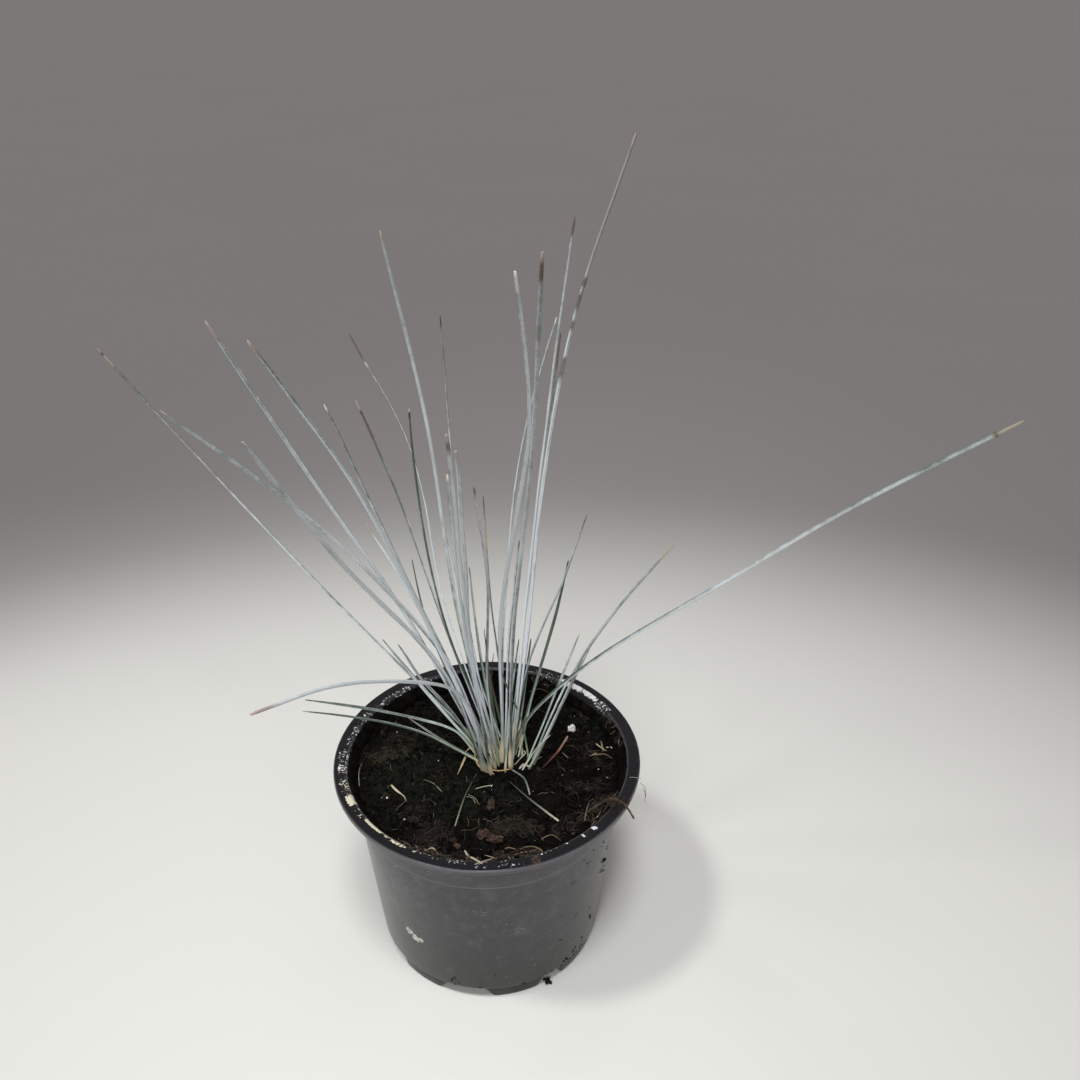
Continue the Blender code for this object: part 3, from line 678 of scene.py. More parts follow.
def add_leaf(name, material, index, foot_bloom, middle_bloom, tip_bloom, marks, sheath=None, beads=()):
    centres, ring_radii = node_line(name)
    route = smooth_line(centres, LEAF_STEP)
    down = (route[0] - route[1]) / np.linalg.norm(route[0] - route[1])
    route = np.concatenate([[route[0] + down * ROOTED], route])
    from_foot = arc_lengths(route)
    radii = np.interp(from_foot, ROOTED + arc_lengths(centres), ring_radii)
    from_tip = from_foot[-1] - from_foot
    share = from_foot / from_foot[-1]

    # a slight sway between the fixed ends
    sway = np.array([math.sin(0.9 * index), math.cos(1.7 * index), 0.3 * math.sin(2.3 * index)])
    wave = np.sin(from_foot / 9.0 + index) * 0.10 + np.sin(from_foot / 23.0 + 2.0 * index) * 0.22
    ends = smoothstep(from_foot, 3.0, 20.0) * smoothstep(from_tip, 0.0, 12.0)
    route = route + sway * (wave * ends)[:, None]

    # thickness: uneven along the leaf, slimmer at the foot, drawn out at the tip, beads
    tall = float(smoothstep(from_foot[-1], 90.0, 150.0))
    radii = radii * (1.0 + 0.05 * np.sin(from_foot / 6.0 + 3.0 * index))
    radii = radii * (0.80 + 0.20 * smoothstep(share, 0.10, 0.45))
    radii = radii * (1.0 + 0.18 * tall * smoothstep(from_tip, 60.0, 8.0))
    radii = radii * (1.0 - (0.30 - 0.20 * tall) * smoothstep(from_tip, 14.0, 0.0))
    radii = radii * (1.0 - 0.35 * smoothstep(from_tip, 2.5, 0.0))
    for bead in beads:
        radii = radii * (1.0 + 0.55 * np.exp(-(((from_tip - bead) / 1.1) ** 2)))

    # colour: bloom along the leaf, a fresh or milky foot, the sheath, marks near the tip
    # the bloom falls to 0.7 of foot_bloom at the very foot, partly painted shade among the crowded feet
    bloom = np.interp(share, (0.0, 0.15, 0.5, 0.8, 1.0), (
        foot_bloom * 0.7, foot_bloom, middle_bloom, tip_bloom, 0.78 * tip_bloom))
    contrast = np.interp(share, (0.0, 0.35, 0.6, 1.0), (1.25, 1.0, 0.55, 0.35))
    mark_colour = np.tile(FRESH_GREEN, (len(route), 1))
    mark = 0.60 * smoothstep(from_foot, 36.0, 4.0)
    pale_foot = smoothstep(from_foot, 12.0, 4.0) * float(smoothstep(foot_bloom, 0.35, 0.70))
    mark = np.maximum(mark, 0.85 * pale_foot)
    mark_colour = blended(mark_colour, MARK_COLOURS["milk"], pale_foot)
    if sheath is not None:
        kind, length, swell = sheath
        covered = smoothstep(from_foot, length + 3.0, length - 8.0)
        radii = radii * (1.0 + (swell - 1.0) * smoothstep(from_foot, length + 2.0, 0.35 * length))
        mark = np.maximum(mark, 0.94 * covered)
        mark_colour = blended(mark_colour, MARK_COLOURS[kind], covered)
        mark_colour = blended(mark_colour, FOOT_BROWN, 0.65 * smoothstep(from_foot, 4.5, 1.8))
    for kind, start, end in zip(marks[::3], marks[1::3], marks[2::3]):
        soft = 0.12 * (end - start) + 0.6
        window = smoothstep(from_tip, start - soft, start) * smoothstep(from_tip, end + soft, end - soft)
        mark = np.maximum(mark, 0.90 * window)
        mark_colour = blended(mark_colour, MARK_COLOURS[kind], window)

    outline, groove, face = blade_outline()
    start = GOLDEN_ANGLE * index
    spun = outline @ np.array([[math.cos(start), math.sin(start)], [-math.sin(start), math.cos(start)]])
    points, faces = tube(route, radii, spun, turn=1.2 + 1.6 * math.sin(1.3 * index))
    facing = (per_side(face, len(route)) - 0.5) * per_ring(contrast, LEAF_SIDES)
    builder = MeshBuilder()
    builder.add(
        points, faces,
        groove=per_side(groove, len(route)) * per_ring(0.4 + 0.6 * contrast, LEAF_SIDES),
        bloom=per_ring(bloom, LEAF_SIDES) + facing,
        mark=per_ring(mark, LEAF_SIDES),
        upper=per_ring(smoothstep(share, 0.20, 0.52), LEAF_SIDES),
        cool=0.5 + 0.5 * math.sin(2.1 * index),
        mark_colour=per_ring(mark_colour, LEAF_SIDES),
    )
    builder.make(name + "_blade", material, NODE_SLOTS[name], name, sharp_angle=65.0)


# ---------------------------------------------------------------- soil


def edge_rise(x, y):
    """How far the soil creeps up the pot's inner wall: 1 at the sides' edge, less at the back."""
    side = 0.35 + 0.65 * float(smoothstep(y, 48.0, 20.0))
    return side * float(smoothstep(math.hypot(x, y), SOIL_RADIUS - 5.0, SOIL_RADIUS))


class Ground:
    """Height of the soil's surface: the CAD solid's top with clods, crumbs and grains on it."""

    def __init__(self):
        mesh = frame["nodes"]["soil"].data
        points = [vert.co / MM for vert in mesh.vertices]
        self.tree = BVHTree.FromPolygons(points, [tuple(face.vertices) for face in mesh.polygons])

    def solid(self, x, y):
        over = Vector((*kept_inside(x, y, SOIL_RADIUS - 0.4), 200.0))
        return self.tree.ray_cast(over, Vector((0.0, 0.0, -1.0)))[0].z

    def height(self, x, y):
        place = Vector((x, y, 0.0))
        lumps = noise.noise(place / 9.0 + Vector((3.1, 0.0, 1.0)))
        clods, crumbs, grains = (
            noise.voronoi(spot, distance_metric="DISTANCE")[0][0]
            for spot in (place / 5.6 + Vector((0.0, 5.0, 0.0)), place / 2.3, place)
        )
        rough = noise.fractal(place / 1.7, 0.8, 2.2, 3)
        relief = 0.8 * lumps + 1.9 * (0.42 - clods) + 1.1 * (0.42 - crumbs)
        relief += 0.45 * (0.4 - grains) + 0.35 * rough
        from_clump = ((x - CLUMP_CENTRE[0]) ** 2 + (y - CLUMP_CENTRE[1]) ** 2) / 150.0
        return self.solid(x, y) + relief * (1.0 - 0.5 * math.exp(-from_clump)) + 2.6 * edge_rise(x, y)


def soil_material():
    paint = Paint("damp_peat", roughness=0.95, specular=0.06)
    coarse = paint.noise(260.0, detail=5.0, rough=0.62)
    fine = paint.noise(1300.0, detail=4.0, rough=0.7)
    peat = paint.layered(
        paint.mix(coarse.step(0.42, 0.66), (0.0012, 0.0009, 0.0010), (0.0066, 0.0048, 0.0040)),
        (paint.noise(70.0).step(0.5, 0.7) * 0.5, (0.0105, 0.0064, 0.0050)),
        (fine.step(0.62, 0.74), (0.034, 0.025, 0.019)),
        (paint.value("film") * paint.noise(240.0, detail=5.0).step(0.44, 0.64), (0.0105, 0.0150, 0.0090)),
    )
    paint.set("Base Color", peat)
    paint.set("Normal", paint.bump(fine, 0.6, 1.0))
    return paint.material


# Green film on the soil, on the left, in front of the clump and at the back: amount, place, reach
FILM_PATCHES = (
    (1.0, -31.5, -0.5, 24.0, 32.0), (0.7, 2.5, -20.0, 20.0, 12.0), (0.5, 42.0, 29.5, 16.0, 18.0),
)


def green_film(x, y):
    """How much green film lies on the soil at a place."""
    total = 0.0
    for amount, at_x, at_y, width, depth in FILM_PATCHES:
        total = total + amount * np.exp(-(((x - at_x) / width) ** 2 + ((y - at_y) / depth) ** 2))
    return np.clip(total, 0.0, 1.0)


def add_soil(ground):
    angles = np.arange(SOIL_STEPS) * math.tau / SOIL_STEPS
    points = [(0.0, 0.0, ground.height(0.0, 0.0))]
    for radius in (SOIL_RADIUS - 0.15) * np.linspace(1.0 / SOIL_RINGS, 1.0, SOIL_RINGS):
        for angle in angles:
            x, y = polar(radius, angle)
            spread = 1.0 + 0.6 * edge_rise(x, y) / SOIL_RADIUS
            points.append((spread * x, spread * y, ground.height(x, y)))
    edge = points[-SOIL_STEPS:]
    # a film of soil up the inner wall under the lip; as a dark sheet it also stands in for the shade
    # there
    tops = np.interp(np.degrees(angles), *zip(*SOIL_AND_SHADE_FILM_TOPS))
    for share in (0.25, 0.5, 0.75, 1.0):
        for angle, top, (x, y, low) in zip(angles, tops, edge):
            grain = noise.fractal(Vector((x, y, 9.0 * share)) / 1.6, 0.8, 2.2, 3)
            height = low + share * (max(top, low + 0.4) + 0.5 * grain - low)
            radius = FUNNEL_RADIUS + FUNNEL_SLOPE * (height - FUNNEL_LOW) - 0.14 - 0.16 * max(0.0, grain)
            points.append((*polar(radius, angle), min(height, FILM_LIMIT)))
    for radius, height in ((SOIL_RADIUS - 0.5, FILM_BACK), (SOIL_RADIUS - 4.0, SOIL_CUT)):
        points += [(*polar(radius, angle), height) for angle in angles]
    points.append((0.0, 0.0, SOIL_CUT))
    faces = []
    rings = (len(points) - 2) // SOIL_STEPS
    for step in range(SOIL_STEPS):
        after = (step + 1) % SOIL_STEPS
        faces.append((0, 1 + step, 1 + after))
        for ring in range(rings - 1):
            inner, outer = 1 + ring * SOIL_STEPS, 1 + (ring + 1) * SOIL_STEPS
            faces.append((inner + step, outer + step, outer + after, inner + after))
        low = 1 + (rings - 1) * SOIL_STEPS
        faces.append((len(points) - 1, low + after, low + step))
    points = np.array(points)
    builder = MeshBuilder()
    builder.add(points, faces, film=green_film(points[:, 0], points[:, 1]))
    builder.make("soil_surface", soil_material(), "soil", "soil")


def rock_shape(subdivisions):
    """Points and faces of a ball of triangles with a radius of 1."""
    shape = bmesh.new()
    bmesh.ops.create_icosphere(shape, subdivisions=subdivisions, radius=1.0)
    points = np.array([vert.co for vert in shape.verts])
    faces = [[vert.index for vert in face.verts] for face in shape.faces]
    shape.free()
    return points, faces


def random_turn(random):
    """A random rotation matrix."""
    matrix, _ = np.linalg.qr(random.normal(size=(3, 3)))
    return matrix * np.sign(np.linalg.det(matrix))


def scattered_place(random, reach):
    angle, away = random.uniform(0.0, math.tau), reach * math.sqrt(random.uniform(0.0, 1.0))
    return polar(away, angle)


def shaded(random, colour, darkest, span):
    """A shade of a colour: darkest times it or up to span times paler, the dark ones more often."""
    return np.array(colour) * darkest * span ** random.uniform(0.0, 1.0)


def drawn_tint(random, tints, spread):
    """One of the colours, the first ones more often."""
    return np.array(tints[min(len(tints) - 1, int(random.exponential(spread)))])


def crumb_material():
    paint = Paint("peat_crumb", roughness=0.92, specular=0.15)
    grain = paint.noise(1100.0, detail=4.0, rough=0.65)
    paint.set("Base Color", paint.scaled(paint.colour("tint"), grain * 1.4 + 0.3))
    paint.set("Normal", paint.bump(grain, 0.3, 0.8))
    return paint.material


# Colours of the crumbs, the common ones first
CRUMB_TINTS = (
    (0.0026, 0.0020, 0.0020), (0.005, 0.0037, 0.0032), (0.010, 0.0070, 0.0055), (0.022, 0.0155, 0.0115),
    (0.060, 0.045, 0.034),
)
CRUMB_FILM = (0.0120, 0.0170, 0.0095)
MOSS_GREEN = (0.017, 0.022, 0.0125)
ROOT_BROWN = (0.052, 0.035, 0.026)


def add_crumbs(ground, material):
    """Crumbs of peat and bark on the soil, larger ones with more faces."""
    random = np.random.default_rng(SEEDS["crumbs"])
    builder = MeshBuilder()
    for count, subdivisions, low, high in CRUMB_SORTS:
        ball, faces = rock_shape(subdivisions)
        for _ in range(count):
            x, y = scattered_place(random, SOIL_RADIUS - 1.2)
            size = random.uniform(low, high) * random.uniform(0.7, 1.3, 3) * (1.0, 1.0, 0.7)
            lumpy = 1.0 + random.normal(0.0, 0.24, (len(ball), 1))
            points = (ball * lumpy * size) @ random_turn(random).T
            place = (x, y, ground.height(x, y) + 0.25 * size[2])
            tint = drawn_tint(random, CRUMB_TINTS, 1.0)
            film = 0.6 * green_film(x, y) * random.uniform(0.0, 1.0)
            builder.add(points + place, faces, tint=tint * (1.0 - film) + np.array(CRUMB_FILM) * film)
    builder.make("soil_crumbs", material, "soil", sharp_angle=35.0)


def fibre_material():
    paint = Paint("dry_fibre", roughness=0.75, specular=0.25)
    paint.set("Base Color", paint.scaled(paint.colour("tint"), paint.noise(700.0) * 0.9 + 0.55))
    return paint.material


def add_fibre(builder, route, thickness, tints, sides=5, step=0.9, flatten=1.0):
    """A thin fibre along a route, with one colour or a colour at its start and one at its end."""
    line = smooth_line(route, step)
    share = np.linspace(0.0, 1.0, len(line))
    radii = 0.5 * thickness * (0.45 + 0.55 * np.sin(math.pi * np.clip(share, 0.06, 0.94)) ** 0.5)
    points, faces = tube(line, radii, round_outline(sides, flatten))
    start, end = (np.array(tint) for tint in (tints if len(tints) == 2 else (tints, tints)))
    tint = start + (end - start) * share[:, None]
    builder.add(points, faces, tint=per_ring(tint, sides))


def lying_route(ground, random, x, y, heading, length, lift, bend):
    """Points of a fibre that lies on the soil, curving as it goes and lifting in its middle."""
    route = []
    steps = 5
    for step in range(steps):
        route.append((x, y, ground.height(x, y) + 0.12 + lift * math.sin(math.pi * step / (steps - 1))))
        heading += bend * random.normal(0.0, 1.0)
        x += length / (steps - 1) * math.cos(heading)
        y += length / (steps - 1) * math.sin(heading)
        x, y = kept_inside(x, y, SOIL_RADIUS - 1.0)
    return route


# Colours of the fibres, the common ones first
FIBRE_TINTS = (
    (0.012, 0.0085, 0.0065), (0.030, 0.021, 0.014), (0.065, 0.047, 0.032), (0.16, 0.13, 0.09),
    (0.060, 0.066, 0.044),
)


def add_loose_fibres(ground, material):
    random = np.random.default_rng(SEEDS["loose fibres"])
    builder = MeshBuilder()
    for _ in range(FIBRE_COUNT):
        x, y = scattered_place(random, SOIL_RADIUS - 1.5)
        tint = drawn_tint(random, FIBRE_TINTS, 1.1) * random.uniform(0.7, 1.2)
        length, thickness = random.uniform(2.0, 9.0), random.uniform(0.10, 0.26)
        route = lying_route(ground, random, x, y, random.uniform(0.0, math.tau), length,
                            random.uniform(0.0, 0.8), 0.45)
        add_fibre(builder, route, thickness, tint)
    builder.make("soil_fibres", material, "root")


def add_fibre_bands(ground, material):
    """Matted patches of brown bark and root fibre, each heaped along its own middle line."""
    random = np.random.default_rng(SEEDS["fibre bands"])
    builder = MeshBuilder()
    for width, height, count, colour, points in FIBRE_BANDS:
        middle = smooth_line([(x, y, 0.0) for x, y in points], 1.0)
        for _ in range(count):
            row = random.integers(1, len(middle) - 1)
            ahead = middle[row + 1] - middle[row - 1]
            off = random.normal(0.0, 0.26) * width
            side = np.array([-ahead[1], ahead[0], 0.0]) / np.linalg.norm(ahead)
            x, y, _ = middle[row] + side * off
            heading = math.atan2(ahead[1], ahead[0]) + random.normal(0.0, 0.75)
            heap = height * math.exp(-((off / (0.5 * width)) ** 2)) * random.uniform(0.0, 1.0)
            length = random.uniform(1.2, 6.5)
            x, y = x - 0.5 * length * math.cos(heading), y - 0.5 * length * math.sin(heading)
            route = lying_route(ground, random, x, y, heading, length, random.uniform(0.0, 0.9), 0.40)
            route = [(px, py, pz + heap) for px, py, pz in route]
            tint = shaded(random, colour, 0.12, 14.0)
            add_fibre(builder, route, random.uniform(0.08, 0.26), tint)
    builder.make("soil_fibre_bands", material, "bark")


def add_moss(ground, material):
    """Short green threads where the film on the soil is strongest."""
    random = np.random.default_rng(SEEDS["moss"])
    builder = MeshBuilder()
    made = 0
    while made < MOSS_COUNT:
        x, y = scattered_place(random, SOIL_RADIUS - 2.0)
        thick = noise.noise(Vector((x, y, 7.0)) / 6.0)
        if random.uniform(0.15, 1.0) > green_film(x, y) * (0.75 + thick):
            continue
        made += 1
        heading, length = random.uniform(0.0, math.tau), random.uniform(0.7, 2.4)
        base = ground.height(x, y)
        tip = (x + length * math.cos(heading), y + length * math.sin(heading))
        route = ((x, y, base - 0.1), ((x + tip[0]) / 2.0, (y + tip[1]) / 2.0, base + 0.5),
                 (*tip, base + random.uniform(0.2, 1.1)))
        tint = np.array(MOSS_GREEN) * random.uniform(0.3, 2.0)
        add_fibre(builder, route, random.uniform(0.09, 0.18), tint, sides=4)
    builder.make("soil_moss", material, "soil")


# ---------------------------------------------------------------- litter


def add_scraps(ground, material):
    builder = MeshBuilder()
    for thickness, start, end, points in SCRAPS:
        route = [
            (*kept_inside(x, y, SOIL_RADIUS - 0.8), ground.solid(x, y) + over) for x, y, over in points
        ]
        add_fibre(builder, route, 0.62 * thickness, (start, end), sides=8, step=0.5, flatten=0.6)
    builder.make("soil_scraps", material, "straw", sharp_angle=60.0)


def add_litter(name, ground, material):
    """A dry leaf, straw or stem lying on the soil, along its node's middle line."""
    slot, flatten, shares, colours = LITTER_LOOKS[name]
    centres, node_radii = node_line(name)
    from_clump = np.linalg.norm(centres[:, :2] - CLUMP_CENTRE, axis=1)
    line = smooth_line(centres if from_clump[0] <= from_clump[-1] else centres[::-1], 0.6)
    share = arc_lengths(line) / arc_lengths(line)[-1]
    radii = node_radii.mean() * np.interp(share, (0.0, 0.5, 1.0), shares)
    radii = radii * (1.0 + 0.08 * np.sin(23.0 * share + len(name)) + 0.05 * np.sin(61.0 * share))
    for row, point in enumerate(line):
        point[2] = max(point[2], ground.height(point[0], point[1]) + 0.6 * radii[row])
    line[1:-1] = (line[:-2] + line[1:-1] * 2.0 + line[2:]) / 4.0
    tint = np.array([np.interp(share, (0.0, 0.5, 0.96), channel) for channel in zip(*colours)]).T
    points, faces = tube(line, radii, round_outline(LITTER_SIDES, flatten), turn=0.8)
    builder = MeshBuilder()
    builder.add(points, faces, tint=per_ring(tint, LITTER_SIDES))
    if name == "root_stick":
        add_root_hairs(builder, line)
    builder.make(name + "_dry", material, slot, name, sharp_angle=60.0)


def add_root_hairs(builder, line):
    """A tuft of fine roots round the stick that hangs over the lip, densest where it lies on it."""
    random = np.random.default_rng(SEEDS["root hairs"])
    for _ in range(ROOT_HAIR_COUNT):
        centre = line[int(np.clip(random.normal(0.42, 0.20), 0.0, 0.80) * (len(line) - 1))]
        heading = random.normal(-0.9, 1.5)
        length = random.uniform(1.2, 5.0)
        x, y, z = centre + random.normal(0.0, (1.9, 1.6, 0.6))
        route = []
        for _ in range(5):
            over_soil = math.hypot(x, y) < RIM_RADIUS - LIP_WIDTH - 2.0
            x, y = kept_inside(x, y, RIM_RADIUS + 0.8)
            route.append((x, y, max(z, SOIL_TOP_LEVEL if over_soil else POT_HEIGHT + 0.2)))
            heading += random.normal(0.0, 0.5)
            x += length / 4.0 * math.cos(heading)
            y += length / 4.0 * math.sin(heading)
            z += random.normal(-0.1, 0.4)
        tint = shaded(random, ROOT_BROWN, 0.25, 9.0)
        add_fibre(builder, route, random.uniform(0.08, 0.24), tint)


def woody_material():
    paint = Paint("bark_wood", roughness=0.85, specular=0.2)
    along = paint.stretched(paint.place, (1.0, 3.0, 1.0))
    grain = paint.noise(240.0, detail=4.0, rough=0.6, vector=along)
    fine = paint.noise(1400.0, detail=3.0)
    wood = paint.mix(grain.step(0.35, 0.65), (0.018, 0.012, 0.010), (0.100, 0.060, 0.042))
    wood = paint.mix(fine.step(0.50, 0.66), wood, (0.020, 0.013, 0.010))
    paint.set("Base Color", paint.scaled(wood, paint.value("shade")))
    paint.set("Normal", paint.bump(grain + fine, 0.5, 0.9))
    return paint.material


def perlite_material():
    paint = Paint("perlite", roughness=0.9, specular=0.3)
    pits = paint.cells(1500.0)
    paint.set("Base Color", paint.mix(pits.step(0.12, 0.35), (0.46, 0.45, 0.40), (0.82, 0.81, 0.76)))
    paint.set("Normal", paint.bump(pits, 0.25, 0.8))
    return paint.material


def lump(random, size, roughness, subdivisions=4):
    """Points and faces of a broken-looking lump: a ball cut by noise at two scales."""
    ball, faces = rock_shape(subdivisions)
    shift = Vector(random.uniform(-50.0, 50.0, 3))
    rows = []
    for point in ball:
        place = Vector(point) / LUMP_SCALE
        swell = 1.0 + roughness * noise.noise(place * 0.5 + shift)
        swell += 0.6 * roughness * noise.cell(place + shift) - 0.3 * roughness
        swell += 0.25 * roughness * noise.noise(place * 2.2 + shift)
        rows.append(point * swell * np.array(size))
    return np.array(rows), faces


def add_lumps(ground):
    """The woody chips, the large perlite grain and the small pale grains."""
    random = np.random.default_rng(SEEDS["lumps"])
    wood = MeshBuilder()
    low, high = (np.array(corner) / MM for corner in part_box("bark_chip"))
    middle, half = (low + high) / 2.0, (high - low) / 2.0
    for offset, share in (((-1.8, 1.2, 0.0), (0.55, 0.62, 0.9)), ((2.4, -1.0, -0.3), (0.6, 0.55, 0.7))):
        points, faces = lump(random, half * share, 0.5)
        wood.add(points + middle + offset, faces, shade=1.0)
    x, y = CHIP_PLACE
    points, faces = lump(random, (1.5, 3.6, 1.2), 0.5)
    wood.add(points + (x, y, ground.solid(x, y) + 0.8), faces, shade=0.8)
    for x, y, size in BARK_BITS:
        points, faces = lump(random, (size, 0.8 * size, 0.6 * size), 0.6, subdivisions=3)
        wood.add(points + (x, y, ground.height(x, y) + 0.1 * size), faces, shade=0.32)
    wood.make("bark_chips", woody_material(), "bark", "bark_chip", sharp_angle=40.0)
    white = MeshBuilder()
    low, high = (np.array(corner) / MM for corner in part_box("perlite_grain"))
    points, faces = lump(random, (high - low) / 2.0 * 0.95, 0.45)
    white.add(points + (low + high) / 2.0, faces)
    for x, y, size in GRAINS:
        points, faces = lump(random, (0.5 * size, 0.5 * size, 0.4 * size), 0.4, subdivisions=2)
        white.add(points + (x, y, ground.height(x, y) + 0.25 * size), faces)
    for _ in range(FINE_GRAIN_COUNT):
        x, y = scattered_place(random, SOIL_RADIUS - 2.0)
        size = random.uniform(0.12, 0.24)
        points, faces = lump(random, (size, size, size), 0.4, subdivisions=1)
        white.add(points + (x, y, ground.height(x, y) + 0.3 * size), faces)
    white.make("perlite_grains", perlite_material(), "perlite", "perlite_grain", sharp_angle=40.0)


# ---------------------------------------------------------------- pot


def wall_radius(height):
    share = (height - BASE_HEIGHT) / (POT_HEIGHT - LIP_DROP - BASE_HEIGHT)
    return BASE_RADIUS + share * (NECK_RADIUS - BASE_RADIUS)


def corner(centre, radius, start, end, steps=4):
    """Points of a rounded corner, from one angle in degrees to another."""
    angles = np.radians(np.linspace(start, end, steps + 1))
    return [(centre[0] + radius * math.cos(a), centre[1] + radius * math.sin(a)) for a in angles]


def pot_profile():
    """Closed section of the pot: down its outer side, along its underside and up its inner side."""
    top, lip_low, lip_inner = POT_HEIGHT, POT_HEIGHT - LIP_DROP, RIM_RADIUS - LIP_WIDTH
    inner_foot = FOOT_RADIUS - FOOT_WIDTH

    def wall(heights, out=0.0):
        return [(wall_radius(height) + out, height) for height in heights]

    outside = (
        corner((RIM_RADIUS - 0.8, top - 0.8), 0.8, 90.0, 0.0, 6)
        + [(RIM_RADIUS, top - 1.3)]
        + corner((RIM_RADIUS - 0.9, top - 1.6), 0.9, 0.0, -80.0)
        + [(RIM_RADIUS - 2.2, top - 2.7)]
        + [(NECK_RADIUS + 2.0, lip_low + 0.4), (NECK_RADIUS + 0.7, lip_low + 0.1)]
        + corner((NECK_RADIUS + 0.5, lip_low - 0.6), 0.6, 100.0, 170.0)
        + wall((90.3, 88.0, 85.0, 82.0, 79.0, 77.3), STEP_DEPTH)
        + [(wall_radius(STEP_HEIGHT) + STEP_DEPTH, STEP_HEIGHT + up) for up in (0.55, 0.3)]
        + [(wall_radius(STEP_HEIGHT), STEP_HEIGHT - down) for down in (0.3, 0.55)]
        + wall((STEP_HEIGHT - 1.4, *np.arange(73.0, 9.0, -3.0), 8.2))
        + corner((BASE_RADIUS - 0.4, BASE_HEIGHT + 0.4), 0.4, 0.0, -90.0)
        + [(FOOT_RADIUS, BASE_HEIGHT - 0.2), (FOOT_RADIUS - 0.1, 3.0)]
        + corner((FOOT_RADIUS - 0.7, 0.4), 0.4, 0.0, -90.0)
    )
    underside = (
        corner((inner_foot + 0.7, 0.4), 0.4, -90.0, -180.0)
        + [(radius, FLOOR_UNDERSIDE) for radius in (inner_foot, FLOOR_RING, DRAIN_RADIUS)]
    )
    inside = (
        [(DRAIN_RADIUS, FLOOR_TOP), (FLOOR_RING, FLOOR_TOP)]
        + [(wall_radius(FLOOR_TOP) - WALL - 1.2, FLOOR_TOP)]
        + wall((FLOOR_TOP, 40.0, 70.0, 80.0, 86.0, 89.6), -WALL)
        + [(wall_radius(FUNNEL_LOW) - WALL + 0.1, FUNNEL_LOW)]
        + [(lip_inner - 2.3, top - 3.1), (lip_inner - 1.2, top - 1.8)]
        + corner((lip_inner + 0.9, top - 1.2), 1.2, 150.0, 90.0)
        + [(lip_inner + share * (LIP_WIDTH - 1.6) + 0.8, top) for share in (0.15, 0.3, 0.5, 0.75)]
    )
    return outside + underside + inside


def foot_lift(azimuth):
    """How high the foot ring's lower edge is at an azimuth in degrees: 0 on a lobe, more in a gap."""
    lift = 0.0
    for index in range(NOTCH_COUNT):
        low_half, high_half, height = NOTCH_SIZES[index % len(NOTCH_SIZES)]
        away = abs((azimuth - NOTCH_FIRST - index * 360.0 / NOTCH_COUNT + 180.0) % 360.0 - 180.0)
        lift = max(lift, height * float(smoothstep(away, low_half, high_half)))
    return lift


# Dried lime on the lip: azimuth from and to in degrees, strength, how far down the inner wall and
# how far out on the lip's top it reaches (mm)
LIME_PATCHES = (
    (104, 126, 0.42, 2.0, 1.6), (126, 140, 0.52, 2.4, 1.0), (140, 152, 0.50, 2.0, 1.4),
    (152, 178, 0.50, 1.5, 2.6), (178, 204, 0.55, 1.8, 4.4), (204, 211, 0.98, 1.0, 3.4),
    (211, 219, 0.60, 1.0, 3.2), (219, 230, 1.02, 0.6, 1.5), (230, 242, 0.76, 0.8, 1.9),
    (242, 266, 0.49, 1.0, 2.5), (267, 274, 0.58, 0.8, 5.0), (274, 290, 0.485, 1.0, 5.6),
    (290, 302, 0.475, 1.0, 2.2), (302, 304, 0.84, 0.5, 1.6), (309.5, 311, 0.86, 0.5, 2.8),
    (314.5, 317, 0.96, 0.5, 2.8), (318, 350, 0.20, 1.0, 2.0), (350, 358, 0.46, 1.5, 1.2),
    (358, 374, 0.34, 1.0, 1.5), (14, 27, 0.44, 1.5, 1.6), (27, 37, 0.66, 1.4, 2.6),
    (36, 47, 0.92, 0.7, 1.9), (46, 58, 1.02, 0.7, 1.8), (57, 74, 0.50, 1.2, 3.0),
    (74, 104, 0.25, 1.0, 1.5),
)


def lime_strength(points):
    """Lime on the lip's top, from its inner edge outwards, and on the inner wall just below it."""
    azimuth = np.degrees(np.arctan2(points[:, 1], points[:, 0])) % 360.0
    radius, height = np.hypot(points[:, 0], points[:, 1]), points[:, 2]
    inner = RIM_RADIUS - LIP_WIDTH
    total = np.zeros(len(points))
    for start, end, strength, depth, width in LIME_PATCHES:
        soft = min(1.6, 0.3 * (end - start))
        window = smoothstep(azimuth, start - soft, start + soft)
        window = window * smoothstep(azimuth, end + soft, end - soft)
        reach = smoothstep(height, POT_HEIGHT - 1.0 - 1.6 * depth, POT_HEIGHT - 0.4 - depth)
        spread = smoothstep(radius, inner + 1.15 * width, inner + 0.65 * width)
        total = np.maximum(total, strength * window * reach * spread)
    return total


# Chipped and scuffed spots of the wall: place and reach in mm
CHIPS = (((-32.7, -41.0, 32.2), 4.0), ((-30.0, -43.0, 30.2), 4.2), ((-27.6, -44.4, 30.6), 2.6))
SCUFFS = (
    ((-21.7, -53.8, 81.0), 4.0), ((-1.0, -55.2, 60.0), 4.5), ((15.0, -52.0, 46.0), 5.0),
    ((-15.5, -48.5, 16.0), 3.0),
)
SEEP_PLACE = (20.6, -58.5, 89.5)
# Fine scratches of the wall: turn, scale of the noise along and up the wall, its step
SCRATCHES = (
    (0.10, (230.0, 1100.0, 1.0), 0.690, 0.745),
    (0.45, (260.0, 1000.0, 1.0), 0.705, 0.755),
    (-0.60, (300.0, 900.0, 1.0), 0.715, 0.765),
    (0.05, (60.0, 1300.0, 1.0), 0.735, 0.770),
)


